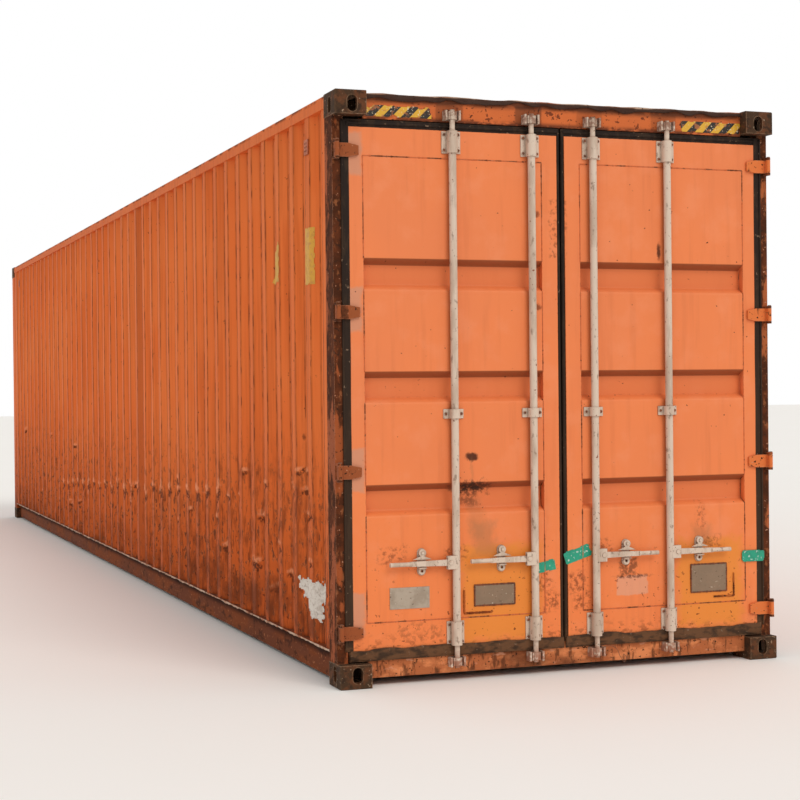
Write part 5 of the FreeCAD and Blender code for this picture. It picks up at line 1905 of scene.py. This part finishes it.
def build_walls(finishes: Finishes) -> None:
    """Make the walls, roof, guard plates, rail lips and the scraps on the left wall."""
    left, right = SideWall(Side.LEFT), SideWall(Side.RIGHT)
    left.build(finishes.side)
    right.build(finishes.side)
    FrontWall().build(finishes.side)
    Roof().build(finishes.side)
    GuardPlate().build(finishes.guard)
    RailLip(Side.LEFT).build(finishes.lip)
    RailLip(Side.RIGHT).build(finishes.lip)
    torn = ((0.73, 0.47), (0.52, 0.48), (0.36, 0.475), (0.35, 0.41), (0.39, 0.36), (0.38, 0.3), (0.42, 0.283))
    torn += ((0.5, 0.31), (0.55, 0.34), (0.68, 0.38))
    Scrap("torn_paper", torn, 14.0).build(left, finishes.paper)
    oblong = ((0.424, 1.985), (0.639, 1.985), (0.639, 2.271), (0.424, 2.271))
    Scrap("yellow_film", oblong, 3.0).build(left, finishes.yellow)
    Scrap("yellow_corner", ((1.02, 2.034), (1.245, 2.034), (1.02, 2.252)), 10.0).build(left, finishes.yellow)


def build_doors(finishes: Finishes) -> None:
    """Make both leaves with their welds, seals, plate traces and tapes."""
    for side in Side:
        leaf = DoorLeaf(side)
        leaf.build_sheet(finishes.door)
        leaf.build_welds(finishes.weld)
        leaf.build_seal(finishes.rubber)
        leaf.build_post_lip(finishes.rubber)
        leaf.build_bolts(finishes.bare)
    left, right = DoorLeaf(Side.LEFT), DoorLeaf(Side.RIGHT)
    left.build_outline("plate_trace_left", ((-0.55, 0.445), (-0.55, 0.33), (-0.4, 0.33)), 5.0, finishes.trace)
    right.build_outline("plate_trace_right", ((0.87, 0.34), (0.99, 0.34), (0.99, 0.46)), 5.0, finishes.trace)
    left.build_outline("plate_frame_left", frame_path(-0.385, 0.416, 0.218, 0.103), 4.2, finishes.bare)
    right.build_outline("plate_frame_right", frame_path(0.84, 0.441, 0.212, 0.145), 4.2, finishes.bare)
    leaf_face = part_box("door_frame_left")[0].y
    header_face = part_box("door_header")[0].y
    tapes = (
        TapePiece(
            "tape_left_stile", (-0.148, 0.535), (-0.05, 0.552), 52, "door_left", leaf_face - 0.001, 5, 101
        ),
        TapePiece("tape_centre", (0.004, 0.575), (0.15, 0.62), 62, "door_right", leaf_face - 0.001, 3, 104),
        TapePiece(
            "tape_right_stile", (1.04, 0.545), (1.175, 0.545), 60, "door_right", leaf_face - 0.006, 3, 107
        ),
    )
    for tape in tapes:
        tape.build(finishes.teal, "door_paint")
    stripes = (
        TapePiece(
            "stripe_tape_left", (-1.054, 2.808), (-0.7, 2.808), 54, "container", header_face - 0.001, 9, 111
        ),
        TapePiece(
            "stripe_tape_right", (0.7, 2.808), (1.054, 2.808), 56, "container", header_face - 0.001, 3, 114
        ),
    )
    for stripe in stripes:
        stripe.build(finishes.stripes, "door_paint")
    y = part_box("cam_keepers")[0].y - 0.006
    wire = ((0.19, y + 0.004, 0.118), (0.235, y, 0.127), (0.27, y - 0.004, 0.108), (0.29, y, 0.07))
    wire += ((0.315, y, 0.04), (0.33, y + 0.004, 0.062), (0.31, y + 0.002, 0.078))
    WireRemnant(wire).build(finishes.bare)


def main() -> None:
    """Load the frame, build each sub-assembly in order and report it."""
    logging.basicConfig(level=logging.INFO, format="%(message)s")
    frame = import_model()
    Studio().build()
    finishes = Finishes()
    finishes.dress(frame["nodes"])
    build_walls(finishes)
    build_doors(finishes)


if __name__ == "__main__":
    main()
